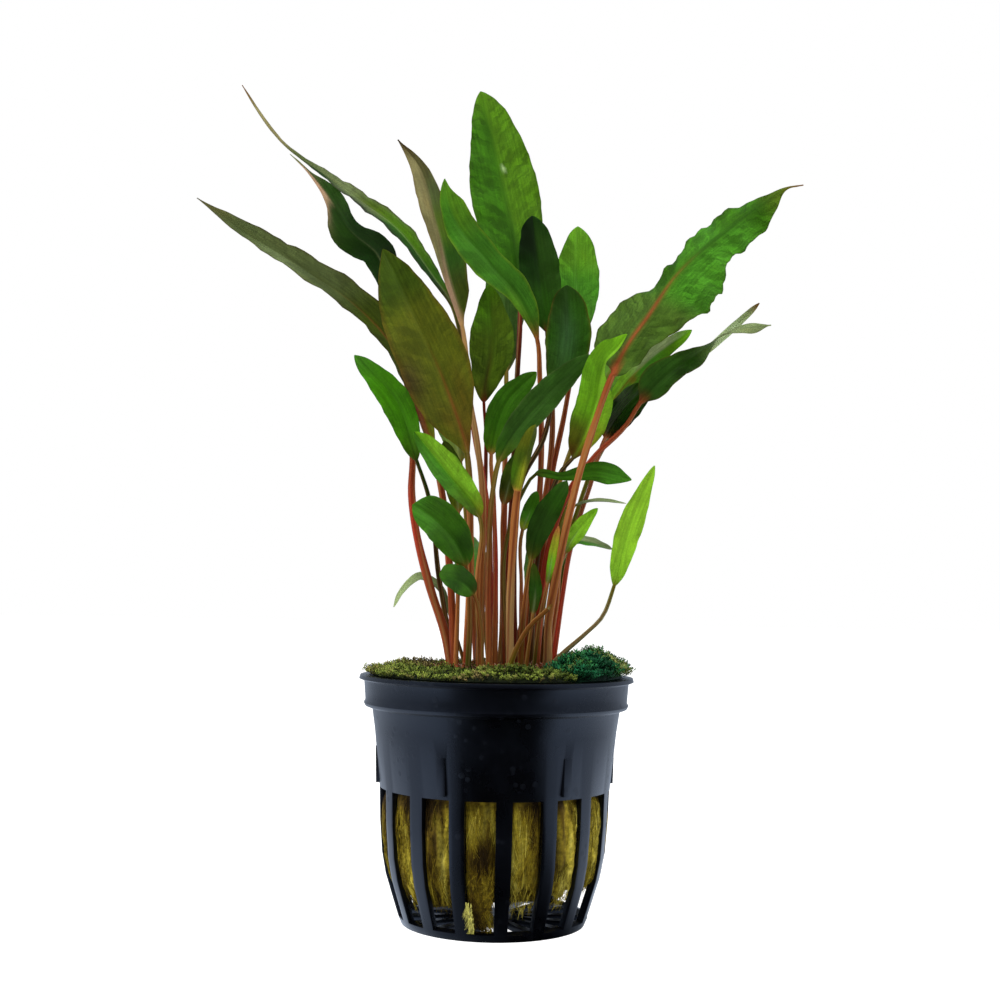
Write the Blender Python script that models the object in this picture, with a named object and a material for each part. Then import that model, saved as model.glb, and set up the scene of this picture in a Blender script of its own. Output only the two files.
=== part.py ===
"""Potted cryptocoryne: an aquarium plant in its net pot.

The origin is the middle of the pot's underside, +Z is up and the front looks along -Y.
Sizes below are in millimetres and degrees; the meshes are made in metres.
"""
import math
from dataclasses import dataclass

import bmesh
import bpy
import numpy as np

MM = 0.001

# Pot
POT_HEIGHT = 48.0
LIP_RADIUS = 27.2
BASE_RADIUS = 18.0
FLOOR_THICKNESS = 1.3
DISC_RADIUS = 6.0
RIB_COUNT = 16
RIB_PHASE = 4.7
RIB_ANGLE = 7.6
# The wall from the lip to the floor's disc: outer radius and height, inner radius and height
POT_WALL = [
    (LIP_RADIUS, POT_HEIGHT - 0.7, LIP_RADIUS - 0.2, POT_HEIGHT),
    (26.2, 46.9, 25.2, POT_HEIGHT),
    (25.9, 43.2, 24.7, 44.2),
    (26.2, 42.6, 24.3, 43.0),
    (25.9, 42.0, 23.9, 42.2),
    (24.5, 41.5, 23.2, 41.2),
    (23.9, 37.5, 22.7, 37.5),
    (22.7, 26.3, 21.5, 26.3),
    (22.5, 20.0, 21.3, 20.0),
    (22.0, 13.7, 20.8, 13.7),
    (21.2, 9.5, 20.0, 9.8),
    (19.9, 5.4, 18.8, 6.2),
    (BASE_RADIUS + 0.6, 1.4, 17.4, 1.9),
    (BASE_RADIUS, 0.0, 16.6, FLOOR_THICKNESS),
    (DISC_RADIUS, 0.0, DISC_RADIUS, FLOOR_THICKNESS),
]
# The slots begin at one row, and the wall is whole again in the ring at its foot
SLOT_ROW = 7
BASE_RING_ROW = 12
FIN_ANGLES = (-85.0, -25.0, 35.0, 95.0, 155.0, 215.0)
FIN_WIDTH = 1.7
FIN_ROOT = 0.5
# Each end of a fin: height, and how far it stands proud of the wall
FIN_ENDS = ((34.0, 0.15), (27.0, 0.7))

# Filling
FIT_GAP = 0.35
# Rock wool: height, and how far it swells into a slot there
WOOL_ROWS = ((4.4, 0.0), (6.4, 0.8), (9.8, 1.5), (14.0, 1.7), (20.0, 1.7), (24.2, 1.1),
             (26.0, 0.0), (41.0, 0.0), (46.8, 0.0))
WOOL_NECK = 41.0
# A loose flap of wool hangs lower in the front slot: its column, then as in a row
FLAP_COLUMN = 3 * RIB_COUNT - 1
FLAP_FOOT = (2.6, 1.0)
# Moss cross-sections: radius and height
MOSS_FOOT = 47.15
MOSS_LOW_ROW = 48.5
MOSS_THINNEST = 0.35
MOSS_LUMPS = 0.06
LOW_MOSS = [(14.2, MOSS_FOOT), (24.6, MOSS_FOOT), (24.7, 48.3), (25.4, 49.2),
            (23.0, 50.0), (17.0, 50.0), (14.2, 49.2)]
HIGH_MOSS = [(14.2, MOSS_FOOT), (24.6, MOSS_FOOT), (24.7, 48.3), (26.4, 50.0),
             (24.2, 52.4), (17.0, 52.2), (14.4, 50.2)]
# Root crown: share of its radii, and height
CROWN_CENTRE = (0.7, -0.9)
CROWN_RADII = (12.6, 11.4)
CROWN_ROWS = ((0.96, MOSS_FOOT), (1.0, 48.2), (0.93, 49.4))
CROWN_SIDES = 24
STALK_START = 50.1

# Leaf sections: a ring's points as a share of the half width, and which way each is lifted
LEAF_SECTION = ((1.0, 0), (0.42, 1), (-0.42, 1), (-1.0, 0), (-0.42, -1), (0.42, -1))
STALK_THICKNESS = 0.87
BLADE_HALF_THICKNESS = 0.24
TIP_RADIUS = 0.16
BLADE_RINGS = 9
# Where a blade narrows to a point at its ends: the length, as a share of the blade, and the power
BASE_REACH = 0.16
BASE_SHARPNESS = 0.4
TIP_REACH = 0.14
TIP_SHARPNESS = 0.3
# Share of the blade's rings over which the round stalk becomes flat
FLAT_FROM = 0.25


@dataclass
class Leaf:
    """One leaf: a stalk and a blade along one smooth path.

    path runs from the crown to the tip, and blade is the path point where the blade begins.
    left and right are the blade's half widths at evenly spread stations between its base and its
    tip, and right is left out where both halves are alike.
    face is where the upper side looks at stations from base to tip: an azimuth from the front
    towards +X, then a roll about the path. fold is how far each half is raised from flat.
    """
    name: str
    path: list
    blade: int
    left: tuple
    right: tuple = ()
    face: tuple = ((0, 0), (0, 0))
    fold: float = 12.0
    stalk: tuple = (0.76, 0.42)
    rings: int = BLADE_RINGS
    colour: tuple = (0.05, 0.16, 0.01)


BRIGHT = (0.10, 0.27, 0.02)
MID = (0.04, 0.16, 0.01)
DARK = (0.005, 0.05, 0.008)
BRONZE = (0.10, 0.10, 0.01)
OLIVE = (0.06, 0.10, 0.01)
PALE = (0.25, 0.40, 0.12)
PINK = (0.28, 0.20, 0.11)
WITHERED = (0.12, 0.06, 0.03)

LEAVES = [
    Leaf("bronze_front_leaf",
         [(-5.8, -6.3, STALK_START), (-5.5, -7.5, 70.7), (-5.7, -8.2, 80.4), (-6.5, -9.5, 91.5),
          (-10.4, -13, 103.2), (-14.7, -17, 112.7), (-18.8, -21.5, 120.8), (-22.3, -25.5, 127.5)],
         3, (1.9, 4.7, 7.1, 7.3, 6.8, 4.6, 1.9), (1.2, 2.7, 5.5, 6.3, 5.1, 3.4, 1.6),
         ((0, 0), (0, 12)), 12, (0.84, 0.61), colour=BRONZE),
    Leaf("bright_lance_leaf",
         [(-3.0, -8.3, STALK_START), (-4.0, -9.5, 67), (-3.8, -10.5, 79), (-9.7, -13, 86.8),
          (-16.4, -15, 94.8)],
         2, (2.1, 3.3, 2.1), (), ((0, 12), (0, 12)), 28, (0.67, 0.38), colour=BRIGHT),
    Leaf("oval_leaf",
         [(-5.5, -9.5, STALK_START), (-5.4, -10.8, 61), (-6.2, -12, 69.5), (-10.9, -16.5, 76.9),
          (-16.2, -20, 80.6)],
         2, (2.3, 3.5, 2.6), (2.6, 4.1, 3.6), ((0, 10), (0, 10)), 8, (0.59, 0.38), 7, MID),
    Leaf("small_dark_oval_leaf",
         [(-2.8, -11.0, STALK_START), (-3.2, -11.8, 58), (-4.6, -13, 64), (-7.8, -16, 66.9),
          (-11.0, -19, 67.6)],
         2, (1.9, 2.7, 2.1), (), ((0, 20), (0, 20)), 8, (0.46, 0.34), 7, DARK),
    Leaf("beige_stalk_leaf",
         [(2.6, -8.0, STALK_START), (2.4, -8.1, 63), (2.8, -8.3, 74.7), (3.5, -8.5, 84.2),
          (4.7, -9, 90), (6.8, -9.6, 97.2)],
         3, (1.7, 2.3, 1.5), (0.9, 1.2, 0.9), ((0, -10), (0, -10)), 20, (0.8, 0.75),
         colour=BRIGHT),
    Leaf("small_upright_leaf",
         [(5.6, -9.0, STALK_START), (6.8, -9.6, 60.5), (7.2, -10, 65), (6.8, -10.5, 70.2)],
         1, (0.9, 1.3, 0.8), (), stalk=(0.42, 0.34), rings=6, colour=DARK),
    Leaf("yellow_strip_leaf",
         [(7.2, -6.4, STALK_START), (8.4, -7.6, 61), (9.5, -8.8, 66.2), (10.7, -10, 73.6),
          (11.5, -10.4, 77.5)],
         2, (0.6, 0.85, 0.6), (), stalk=(0.42, 0.34), rings=6, colour=BRIGHT),
    Leaf("long_left_leaf",
         [(-8.2, -3.4, STALK_START), (-9.8, -3.8, 71), (-11.2, -4, 83), (-13.1, -4.5, 91.4),
          (-16.6, -6, 102.1), (-22.4, -8.5, 113.5), (-29.4, -10.5, 120.3), (-39, -12, 126.5),
          (-52, -13.5, 134.4), (-59.4, -14, 139.6)],
         3, (1.2, 1.6, 2.3, 3.0, 2.7, 1.9, 0.6), (1.2, 2.6, 3.8, 4.1, 3.4, 2.4, 0.7),
         ((0, 30), (0, 45)), 15, (0.84, 0.61), 12, OLIVE),
    Leaf("high_left_leaf",
         [(-1.2, -0.4, STALK_START), (-1.6, -0.6, 66), (-2.5, -0.5, 81.9), (-5.6, 0.5, 98.1),
          (-7.9, 2, 113.5), (-10.2, 3, 122.5), (-15.3, 4, 130.1), (-21.4, 5, 138.2),
          (-29.7, 7, 145), (-38.1, 9.5, 151.4), (-47.6, 12.5, 159.2), (-53.2, 13.5, 166.6),
          (-56.5, 14, 171.8)],
         5, (1.3, 2.3, 3.2, 2.2, 0.4, 0.6, 0.4), (1.3, 2.1, 2.8, 2.1, 0.8, 0.5, 0.4),
         ((0, 45), (0, 45)), 16, (0.8, 0.46), 13, MID),
    Leaf("twisted_dark_leaf",
         [(-9.1, -1, STALK_START), (-9.9, -1, 54.5), (-13.5, -1, 65.2), (-17.0, 0, 78.7),
          (-17.7, 0.5, 84.7), (-17.6, 1, 90.8), (-19.7, 3.2, 109.4), (-21.8, 6, 121.2),
          (-24.7, 9, 130.8), (-26.6, 11, 135), (-32.2, 13, 140.1), (-36.7, 16, 146.9),
          (-42.9, 19, 155.1), (-46.8, 20, 158.8)],
         7, (1.0, 2.1, 3.2, 4.3, 1.2, 0.5, 0.3), (1.0, 2.5, 4.0, 2.3, 2.9, 0.5, 0.3),
         ((0, -10), (0, -10), (0, 0), (0, 60)), 15, (0.95, 0.5), 13, DARK),
    Leaf("pointed_brown_leaf",
         [(-3.4, -3.4, STALK_START), (-3.2, -3.4, 71), (-3.4, -3.2, 84), (-4.6, -3, 94),
          (-6.2, -3, 102.7), (-8.1, -3, 117.7), (-11, -3, 126.8), (-13.7, -2.5, 138.4),
          (-17.6, -1, 150.6), (-21.9, 0, 156.1)],
         5, (0.6, 0.7, 1.1, 2.1, 2.6, 1.5, 0.5), (1.2, 3.8, 4.9, 3.4, 2.4, 1.2, 0.4),
         ((0, -10), (0, -10)), 20, (0.8, 0.46), colour=PINK),
    Leaf("lower_left_leaf",
         [(-8.6, 1.6, STALK_START), (-11.8, 0.6, 67), (-14.3, -2.4, 84), (-16.5, -5.6, 90.3),
          (-20.4, -9, 101), (-28.5, -12, 109.8)],
         3, (2.0, 3.2, 1.9), (), ((0, 0), (0, 10)), 18, (0.59, 0.38), colour=MID),
    Leaf("thin_drooping_leaf",
         [(-6.5, 3.8, STALK_START), (-9.9, 3.8, 60.4), (-11.8, 4, 65.2), (-15.8, 4, 67.4),
          (-19.2, 3.8, 64.7), (-21, 3.5, 61.2)],
         1, (0.7, 1.05, 0.7), (), ((0, 40), (0, 40)), 10, (0.42, 0.3), 8, OLIVE),
    Leaf("small_olive_leaf",
         [(-8.0, -6.0, STALK_START), (-7.8, -6.6, 68), (-8, -6.8, 80), (-9, -7, 87),
          (-11, -7.5, 94)],
         2, (1.5, 2.2, 1.4), (), stalk=(0.5, 0.34), rings=7, colour=OLIVE),
    Leaf("tall_centre_leaf",
         [(0.8, 4.0, STALK_START), (2.6, 4.4, 83), (3.2, 5, 108), (3.6, 8, 124),
          (-1.1, 16, 155), (-5.6, 20, 173.4)],
         3, (4.7, 7.4, 3.7), (4.5, 7.3, 4.7), fold=8, stalk=(0.84, 0.49), rings=10, colour=MID),
    Leaf("leaning_leaf",
         [(5.5, 1.6, STALK_START), (7.2, 2.8, 72), (8.3, 3.4, 90), (7.8, 3.4, 108.2),
          (7.1, 3, 116.3), (3.8, 0.5, 123.2), (-3.3, -4.5, 130.6), (-9.3, -9.5, 136.9),
          (-11.4, -11.5, 142.1), (-11.7, -12.5, 144.6)],
         4, (0.8, 1.4, 2.2, 3.7, 3.4, 2.0, 1.0), (1.0, 2.4, 3.4, 3.0, 3.3, 3.0, 1.0),
         stalk=(0.8, 0.46), rings=10, colour=MID),
    Leaf("dark_middle_leaf",
         [(3.6, 5.6, STALK_START), (8, 5.6, 75), (10.6, 5.5, 98), (9.2, 6, 118.4),
          (7.4, 8, 131.8), (5.9, 10, 143.5)],
         3, (2.9, 4.3, 3.0), (), ((0, 0), (0, 15)), 10, (0.76, 0.46), colour=DARK),
    Leaf("olive_middle_leaf",
         [(-3.9, 2.2, STALK_START), (-3.2, 3.4, 70), (-2.9, 3.4, 85), (-3.1, 3, 98),
          (-3.5, 2.2, 103), (-2.1, 1, 114), (-2.8, 1, 126.9)],
         4, (2.5, 4.7, 2.3), (), fold=14, stalk=(0.67, 0.3), colour=OLIVE),
    Leaf("blue_green_diagonal_leaf",
         [(-1.5, -5.6, STALK_START), (-1.9, -5.8, 71), (-1.4, -5.6, 84), (-0.3, -5, 90.2),
          (8.8, -3, 103.5), (17.6, -1, 112.5)],
         3, (2.1, 3.1, 1.9), (), fold=14, stalk=(0.71, 0.46), colour=DARK),
    Leaf("green_diagonal_leaf",
         [(-0.4, -3.0, STALK_START), (-0.6, -2.8, 71), (-1.2, -2.2, 84), (-1.8, -1.6, 92),
          (1.2, -0.8, 102.6), (7, -0.4, 108.9)],
         3, (2.0, 3.0, 1.8), (), stalk=(0.59, 0.38), colour=MID),
    Leaf("blue_green_broad_leaf",
         [(3.6, 0.2, STALK_START), (3.2, 0.8, 75), (4.5, 1, 87.2), (8.6, 1.4, 95.4),
          (10.6, 1.5, 104), (12.7, 2, 111), (13.5, 2.8, 118), (13.1, 4, 127.6)],
         4, (2.8, 4.7, 3.3), (), ((0, 0), (0, 8)), 8, (0.71, 0.46), colour=DARK),
    Leaf("rounded_green_leaf",
         [(6.0, 5.8, STALK_START), (9, 6.6, 72), (10.9, 7, 90), (13.2, 7.5, 102),
          (15.2, 10, 117), (15.6, 14, 129.7), (15.8, 16, 142.9)],
         4, (3.1, 5.1, 2.8), (3.0, 4.8, 3.3), ((0, 0), (0, 8)), 8, (0.76, 0.46), colour=MID),
    Leaf("small_shaded_leaf",
         [(1.6, -0.2, STALK_START), (0.8, 0, 70), (0.9, 0, 82), (2, 0, 87), (3.4, 0, 92.5)],
         2, (1.3, 1.9, 1.2), (), stalk=(0.42, 0.34), rings=6, colour=DARK),
    Leaf("dark_oval_leaf",
         [(4.6, -5.2, STALK_START), (5, -5.2, 60), (6.4, -5, 71), (7.5, -4.4, 75.9),
          (9.4, -3.5, 80.2), (11.4, -2.8, 83.6), (13.4, -2.2, 86.9)],
         2, (1.7, 2.5, 1.6), (), fold=8, stalk=(0.63, 0.42), rings=8, colour=DARK),
    Leaf("small_forked_leaf",
         [(4.8, -2.4, STALK_START), (4.6, -1.8, 66), (4.7, -1.2, 77), (6.2, -1, 81),
          (7.4, -0.8, 84.8)],
         2, (1.1, 1.6, 1.0), (), stalk=(0.42, 0.34), rings=6, colour=DARK),
    Leaf("big_wavy_leaf",
         [(10.0, -4.0, STALK_START), (10.0, -5.6, 59), (11.2, -7, 67.1), (13.6, -8.6, 79.9),
          (15.7, -9, 88.9), (18.8, -9.4, 99.3), (21.5, -10.1, 107), (23.9, -10.5, 112.1),
          (28.3, -11, 118.6), (33.6, -11.5, 126.5), (38.3, -12, 131.3), (43, -13, 135.1),
          (49, -15, 139.5), (54.3, -17, 142.7), (57, -17.6, 143.1)],
         6, (1.0, 8.1, 8.5, 8.2, 3.2, 3.6, 4.7, 3.8, 1.5, 0.5, 0.3),
         (3.6, 4.3, 4.5, 6.1, 9.1, 9.0, 5.3, 5.3, 3.2, 0.5, 0.3),
         ((0, -32), (0, -25)), -12, (0.88, 0.64), 18, BRIGHT),
    Leaf("bright_right_leaf",
         [(6.6, -2.6, STALK_START), (6.8, -2, 59), (7.7, -0.6, 71.1), (10.5, 0.8, 85.2),
          (12.4, 0.8, 89.2), (14.6, -1, 91.6), (16.6, -5, 95.8), (18.8, -7.4, 102.5),
          (19.4, -8.6, 107), (20.3, -10.9, 110), (22.4, -12.2, 112.3), (24, -13.2, 114.6)],
         5, (1.8, 2.7, 3.9, 3.9, 3.6, 2.8, 1.3), (1.0, 2.2, 3.4, 3.1, 0.5, 0.5, 0.4),
         ((0, 5), (0, -15)), 12, (0.76, 0.38), 10, BRIGHT),
    Leaf("low_right_leaf",
         [(7.8, 0.4, STALK_START), (8.6, 0.6, 63.1), (10.1, 1, 73.8), (12.2, 1.4, 80.9),
          (14.6, 1.8, 86.2), (19, 2.6, 92.2), (25.8, 3.4, 99.3), (28.3, 3.4, 103.5),
          (34.3, 3, 109.8), (40.8, 3, 114.4), (45.4, 2.8, 117.8), (50.6, 2.2, 119.3),
          (54.6, 1.8, 119.6)],
         7, (1.0, 3.2, 3.9, 2.7, 1.6, 0.5, 1.6, 1.5, 0.4),
         (1.2, 2.6, 2.8, 2.6, 2.3, 0.6, 2.0, 0.9, 0.3),
         ((0, -10), (0, -10), (0, -20), (0, 90), (0, 155), (0, 160)), 8, (0.8, 0.46), 14, DARK),
    Leaf("pale_tip_leaf",
         [(9.6, 5.6, STALK_START), (11.3, 6.8, 64), (15, 8.2, 78), (20.4, 8.6, 93), (28, 8, 104),
          (38.7, 6.2, 111.8), (46.5, 5.2, 118.9), (52.7, 4.8, 124.7)],
         5, (0.6, 0.9, 0.7), (), ((0, 20), (0, 20)), 14, (0.59, 0.38), colour=PALE),
    Leaf("yellow_green_leaf",
         [(7.9, 7.5, STALK_START), (10.6, 9.2, 70), (16.3, 10.4, 90), (22.7, 10.2, 103.8),
          (28.9, 10.4, 111.7), (35.5, 10.7, 117.2), (39.7, 11, 120)],
         3, (1.8, 2.3, 1.5), (), ((0, 10), (0, 20)), 16, (0.67, 0.38), colour=BRIGHT),
    Leaf("glossy_dark_leaf",
         [(11.2, 1.4, STALK_START), (12.9, 2.6, 63.2), (14.3, 3.8, 72.3), (16.4, 4.8, 80.1),
          (18.6, 5.1, 86.9), (21.4, 5.4, 96.4), (24.5, 5.3, 101.5), (30, 5.4, 107.5)],
         5, (2.2, 3.1, 2.4), (), ((0, 10), (0, 10)), 14, (0.55, 0.38), colour=DARK),
    Leaf("flat_right_leaf",
         [(2.2, -3.0, STALK_START), (1.8, -2.6, 76), (4.4, -2, 84), (7.2, -1.2, 88.2),
          (12.6, -0.8, 87.9), (18.6, -1.4, 88.9), (26.2, -2.4, 87.3)],
         3, (0.9, 0.8, 1.6, 2.2, 1.0), (), fold=8, stalk=(0.5, 0.34),
         colour=MID),
    Leaf("arching_thin_leaf",
         [(8.8, 2.6, STALK_START), (10.4, 2.8, 64), (13.3, 2.8, 78.8), (15.3, 3, 82.3),
          (17.6, 3.2, 83.2), (21.6, 3.4, 83.4), (25.7, 3.2, 82.9)],
         3, (0.5, 0.75, 0.5), (), ((0, -60), (0, -60)), 10, (0.42, 0.3), 7, OLIVE),
    Leaf("small_light_leaf",
         [(10.0, -1.0, STALK_START), (11.6, -2, 62), (13, -3, 72.5), (15.7, -4, 77),
          (19.4, -4.4, 81.4)],
         2, (1.1, 1.7, 1.0), (1.1, 1.6, 0.75), stalk=(0.55, 0.38), rings=7, colour=BRIGHT),
    Leaf("striped_edge_leaf",
         [(11.0, 3.8, STALK_START), (12.4, 5.2, 60), (13.8, 5.9, 71.4), (15.6, 6.4, 75),
          (19.6, 6.8, 74.8), (23.3, 7, 73.7)],
         2, (0.9, 1.6, 1.1), (), ((0, -55), (0, -55)), 10, (0.5, 0.34), 7, OLIVE),
    Leaf("far_right_leaf",
         [(10.3, -6.5, STALK_START), (12, -7, 52.1), (17, -8.6, 56.8), (19.9, -9.2, 59.7),
          (22.4, -10.2, 66.3), (24.7, -12, 76), (29.4, -15, 89.1)],
         4, (1.9, 2.5, 1.2), (1.6, 2.4, 1.1), fold=10, stalk=(0.5, 0.34), colour=BRIGHT),
    Leaf("back_left_leaf",
         [(-4.0, 6.2, STALK_START), (-6, 11, 72), (-8.5, 17, 92), (-12, 25, 108),
          (-16, 31, 121)],
         2, (2.8, 4.5, 2.8), (), ((180, 0), (180, 0)), 14, (0.8, 0.46), colour=MID),
    Leaf("back_low_left_leaf",
         [(-1.5, 6.8, STALK_START), (-3.4, 14, 62), (-6, 23, 72), (-8, 34, 78)],
         1, (2.3, 3.7, 2.3), (), ((180, 0), (180, 10)), 12, (0.67, 0.38), colour=MID),
    Leaf("back_low_right_leaf",
         [(4.0, 8.0, STALK_START), (7, 15, 63), (9.6, 24, 74), (12, 33, 82)],
         1, (2.2, 3.5, 2.2), (), ((180, 0), (180, -10)), 12, (0.67, 0.38), colour=DARK),
    Leaf("back_right_leaf",
         [(6.2, 8.6, STALK_START), (10, 14.3, 78), (17, 20, 100), (28, 26, 120),
          (38, 29, 133)],
         2, (2.6, 4.2, 2.6), (), ((150, 0), (150, 0)), 14, (0.8, 0.46), colour=BRIGHT),
    Leaf("back_tall_leaf",
         [(1.2, 7.2, STALK_START), (1, 12, 85), (1, 19.5, 112), (0.4, 28, 135), (-0.6, 34, 151)],
         2, (2.8, 4.5, 2.8), (), ((180, 0), (180, 0)), 12, (0.8, 0.46), colour=DARK),
    Leaf("withered_stalk",
         [(2.4, -11.0, STALK_START), (3.6, -11.6, 53.6), (6.2, -12, 58.2), (9.6, -12.4, 61.5),
          (10.4, -12.2, 62.4)],
         3, (0.35,), (), fold=5, stalk=(0.55, 0.42), rings=3, colour=WITHERED),
]


def polar(radius, degrees, height):
    """Point at an angle counted from the front towards +X."""
    angle = math.radians(degrees)
    return (radius * math.sin(angle), -radius * math.cos(angle), height)


def material(name, colour, roughness=0.45, metallic=0.0):
    """Principled material of one colour."""
    mat = bpy.data.materials.new(name)
    mat.use_nodes = True
    shader = mat.node_tree.nodes["Principled BSDF"]
    shader.inputs["Base Color"].default_value = (*colour, 1.0)
    shader.inputs["Roughness"].default_value = roughness
    shader.inputs["Metallic"].default_value = metallic
    return mat


def add_object(name, points, faces, mat, parent, smooth=50.0):
    """Object from points in millimetres, with its faces turned outwards."""
    mesh = bpy.data.meshes.new(name)
    mesh.from_pydata([tuple(c * MM for c in p) for p in points], [], faces)
    solid = bmesh.new()
    solid.from_mesh(mesh)
    bmesh.ops.recalc_face_normals(solid, faces=solid.faces)
    solid.to_mesh(mesh)
    solid.free()
    mesh.materials.append(mat)
    mesh.shade_smooth()
    mesh.set_sharp_from_angle(angle=math.radians(smooth))
    obj = bpy.data.objects.new(name, mesh)
    bpy.context.scene.collection.objects.link(obj)
    obj.parent = parent
    return obj


def wall_angles():
    """Column angles: each rib's two sides, then the middle of the slot after it."""
    pitch = 360.0 / RIB_COUNT
    angles = []
    for rib in range(RIB_COUNT):
        middle = RIB_PHASE + rib * pitch
        angles += [middle - RIB_ANGLE / 2, middle + RIB_ANGLE / 2, middle + pitch / 2]
    return angles


def pot_mesh():
    """The pot's wall and floor as one shell, with the cells of the slots left out."""
    angles = wall_angles()
    columns = len(angles)
    rows = len(POT_WALL) - 1
    points = []
    index = {}

    def corner(side, row, column):
        key = (side, row, column % columns)
        if key not in index:
            radius, height = POT_WALL[row][:2] if side == "outer" else POT_WALL[row][2:]
            index[key] = len(points)
            points.append(polar(radius, angles[key[2]], height))
        return index[key]

    def solid(row, column):
        inside = 0 <= row < rows
        return inside and (row < SLOT_ROW or row == BASE_RING_ROW or column % 3 == 0)

    faces = []
    for row in range(rows):
        for column in range(columns):
            if not solid(row, column):
                continue
            ring = [(row, column), (row, column + 1), (row + 1, column + 1), (row + 1, column)]
            beside = [(row - 1, column), (row, column + 1), (row + 1, column), (row, column - 1)]
            faces.append([corner("outer", *c) for c in ring])
            faces.append([corner("inner", *c) for c in reversed(ring)])
            for side in range(4):
                start = ring[side]
                end = ring[(side + 1) % 4]
                at_disc = side == 2 and row == rows - 1
                if not solid(*beside[side]) and not at_disc:
                    faces.append([corner("outer", *start), corner("inner", *start),
                                  corner("inner", *end), corner("outer", *end)])
    # The disc's rim between the ribs, then its two flat faces
    for column in range(columns):
        if not solid(rows - 1, column):
            faces.append([corner("outer", rows, column), corner("inner", rows, column),
                          corner("inner", rows, column + 1), corner("outer", rows, column + 1)])
    faces.append([corner("outer", rows, column) for column in range(columns)])
    faces.append([corner("inner", rows, column) for column in range(columns)])
    return points, faces


def wall_radius(height, side):
    """Radius of the outer or inner wall at a height."""
    first = 0 if side == "outer" else 2
    rows = sorted((row[first + 1], row[first]) for row in POT_WALL[1:-1])
    return float(np.interp(height, [r[0] for r in rows], [r[1] for r in rows]))


def fin_mesh():
    """Six wedges, flush with the wall at their top and proud of it at their foot."""
    points = []
    faces = []
    for angle in FIN_ANGLES:
        first = len(points)
        for height, proud in FIN_ENDS:
            wall = wall_radius(height, "outer")
            for radius in (wall - FIN_ROOT, wall + proud):
                half = math.degrees(FIN_WIDTH / 2 / radius)
                points.append(polar(radius, angle - half, height))
                points.append(polar(radius, angle + half, height))
        for face in ((0, 1, 3, 2), (4, 6, 7, 5), (0, 4, 5, 1), (2, 3, 7, 6), (0, 2, 6, 4),
                     (1, 5, 7, 3)):
            faces.append([first + corner for corner in face])
    return points, faces


def make_pot(parent):
    """Net pot with its fins joined on."""
    plastic = material("black_plastic", (0.012, 0.015, 0.024), 0.35)
    pot = add_object("net_pot", *pot_mesh(), plastic, parent, 35.0)
    fins = add_object("fin_shapes", *fin_mesh(), plastic, parent)
    fins.hide_render = True
    fins.display_type = "WIRE"
    join = pot.modifiers.new("fins", "BOOLEAN")
    join.operation = "UNION"
    join.object = fins


def lofted(rings):
    """Faces of a closed solid through rings of equal length, with flat ends."""
    count = len(rings[0])
    points = [point for ring in rings for point in ring]
    faces = []
    for level in range(len(rings) - 1):
        base = level * count
        for corner in range(count):
            after = (corner + 1) % count
            faces.append([base + corner, base + after, base + count + after,
                          base + count + corner])
    faces.append(list(range(count)))
    faces.append([len(points) - count + corner for corner in range(count)])
    return points, faces


def make_wool(parent):
    """Rock wool plug that swells into the slots between the ribs."""
    angles = wall_angles()
    rings = []
    for row, (height, bulge) in enumerate(WOOL_ROWS):
        ring = []
        for column, angle in enumerate(angles):
            place = (height, bulge if column % 3 == 2 else 0.0)
            if row == 0 and column == FLAP_COLUMN:
                place = FLAP_FOOT
            inside = min(wall_radius(place[0], "inner"), wall_radius(WOOL_NECK, "inner"))
            ring.append(polar(inside - FIT_GAP + place[1], angle, place[0]))
        rings.append(ring)
    add_object("rock_wool", *lofted(rings), material("rock_wool", (0.22, 0.17, 0.06), 0.95),
               parent, 180.0)


def make_moss(name, start, end, steps, section, colour, parent):
    """Moss along part of the rim: one cross-section swept round, rising and falling."""
    rings = []
    for step in range(steps + 1):
        share = step / steps
        angle = start + (end - start) * share
        grown = min(1.0, 8.0 * share * (1.0 - share)) ** 0.5
        lumps = 1.0 + MOSS_LUMPS * math.sin(0.51 * angle) * math.sin(0.17 * angle)
        rise = (MOSS_THINNEST + (1.0 - MOSS_THINNEST) * grown) * lumps
        ring = []
        for radius, height in section:
            if height > MOSS_LOW_ROW:
                height = max(MOSS_FOOT + (height - MOSS_FOOT) * rise, MOSS_LOW_ROW + 0.1)
            ring.append(polar(radius, angle, height))
        rings.append(ring)
    add_object(name, *lofted(rings), material(name, colour, 0.95), parent, 180.0)


def make_crown(parent):
    """Root crown: a low oval mound with a flat top, which the stalks stand on."""
    rings = []
    for share, height in CROWN_ROWS:
        ring = []
        for step in range(CROWN_SIDES):
            angle = 2.0 * math.pi * step / CROWN_SIDES
            ring.append((CROWN_CENTRE[0] + share * CROWN_RADII[0] * math.cos(angle),
                         CROWN_CENTRE[1] + share * CROWN_RADII[1] * math.sin(angle), height))
        rings.append(ring)
    add_object("root_crown", *lofted(rings), material("root_crown", (0.06, 0.04, 0.02), 0.9),
               parent)


def blade_frame(tangent, face):
    """Unit vectors across a blade and out of its upper side."""
    azimuth, roll = (math.radians(angle) for angle in face)
    level = np.array([math.sin(azimuth), -math.cos(azimuth), 0.0])
    across = np.cross(tangent, level)
    across /= np.linalg.norm(across)
    normal = np.cross(across, tangent)
    turned = normal * math.cos(roll) + across * math.sin(roll)
    return np.cross(tangent, turned), turned


def hermite(start, end, start_slope, end_slope, t):
    """Smooth value between two values, with the slopes there."""
    return ((2 * t**3 - 3 * t**2 + 1) * start + (t**3 - 2 * t**2 + t) * start_slope
            + (3 * t**2 - 2 * t**3) * end + (t**3 - t**2) * end_slope)


def at_share(values, share):
    """Smooth value at a share of the way along evenly spaced values."""
    place = share * (len(values) - 1)
    span = min(int(place), len(values) - 2)
    slopes = np.gradient(np.array(values, float))
    return hermite(values[span], values[span + 1], slopes[span], slopes[span + 1], place - span)


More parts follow.
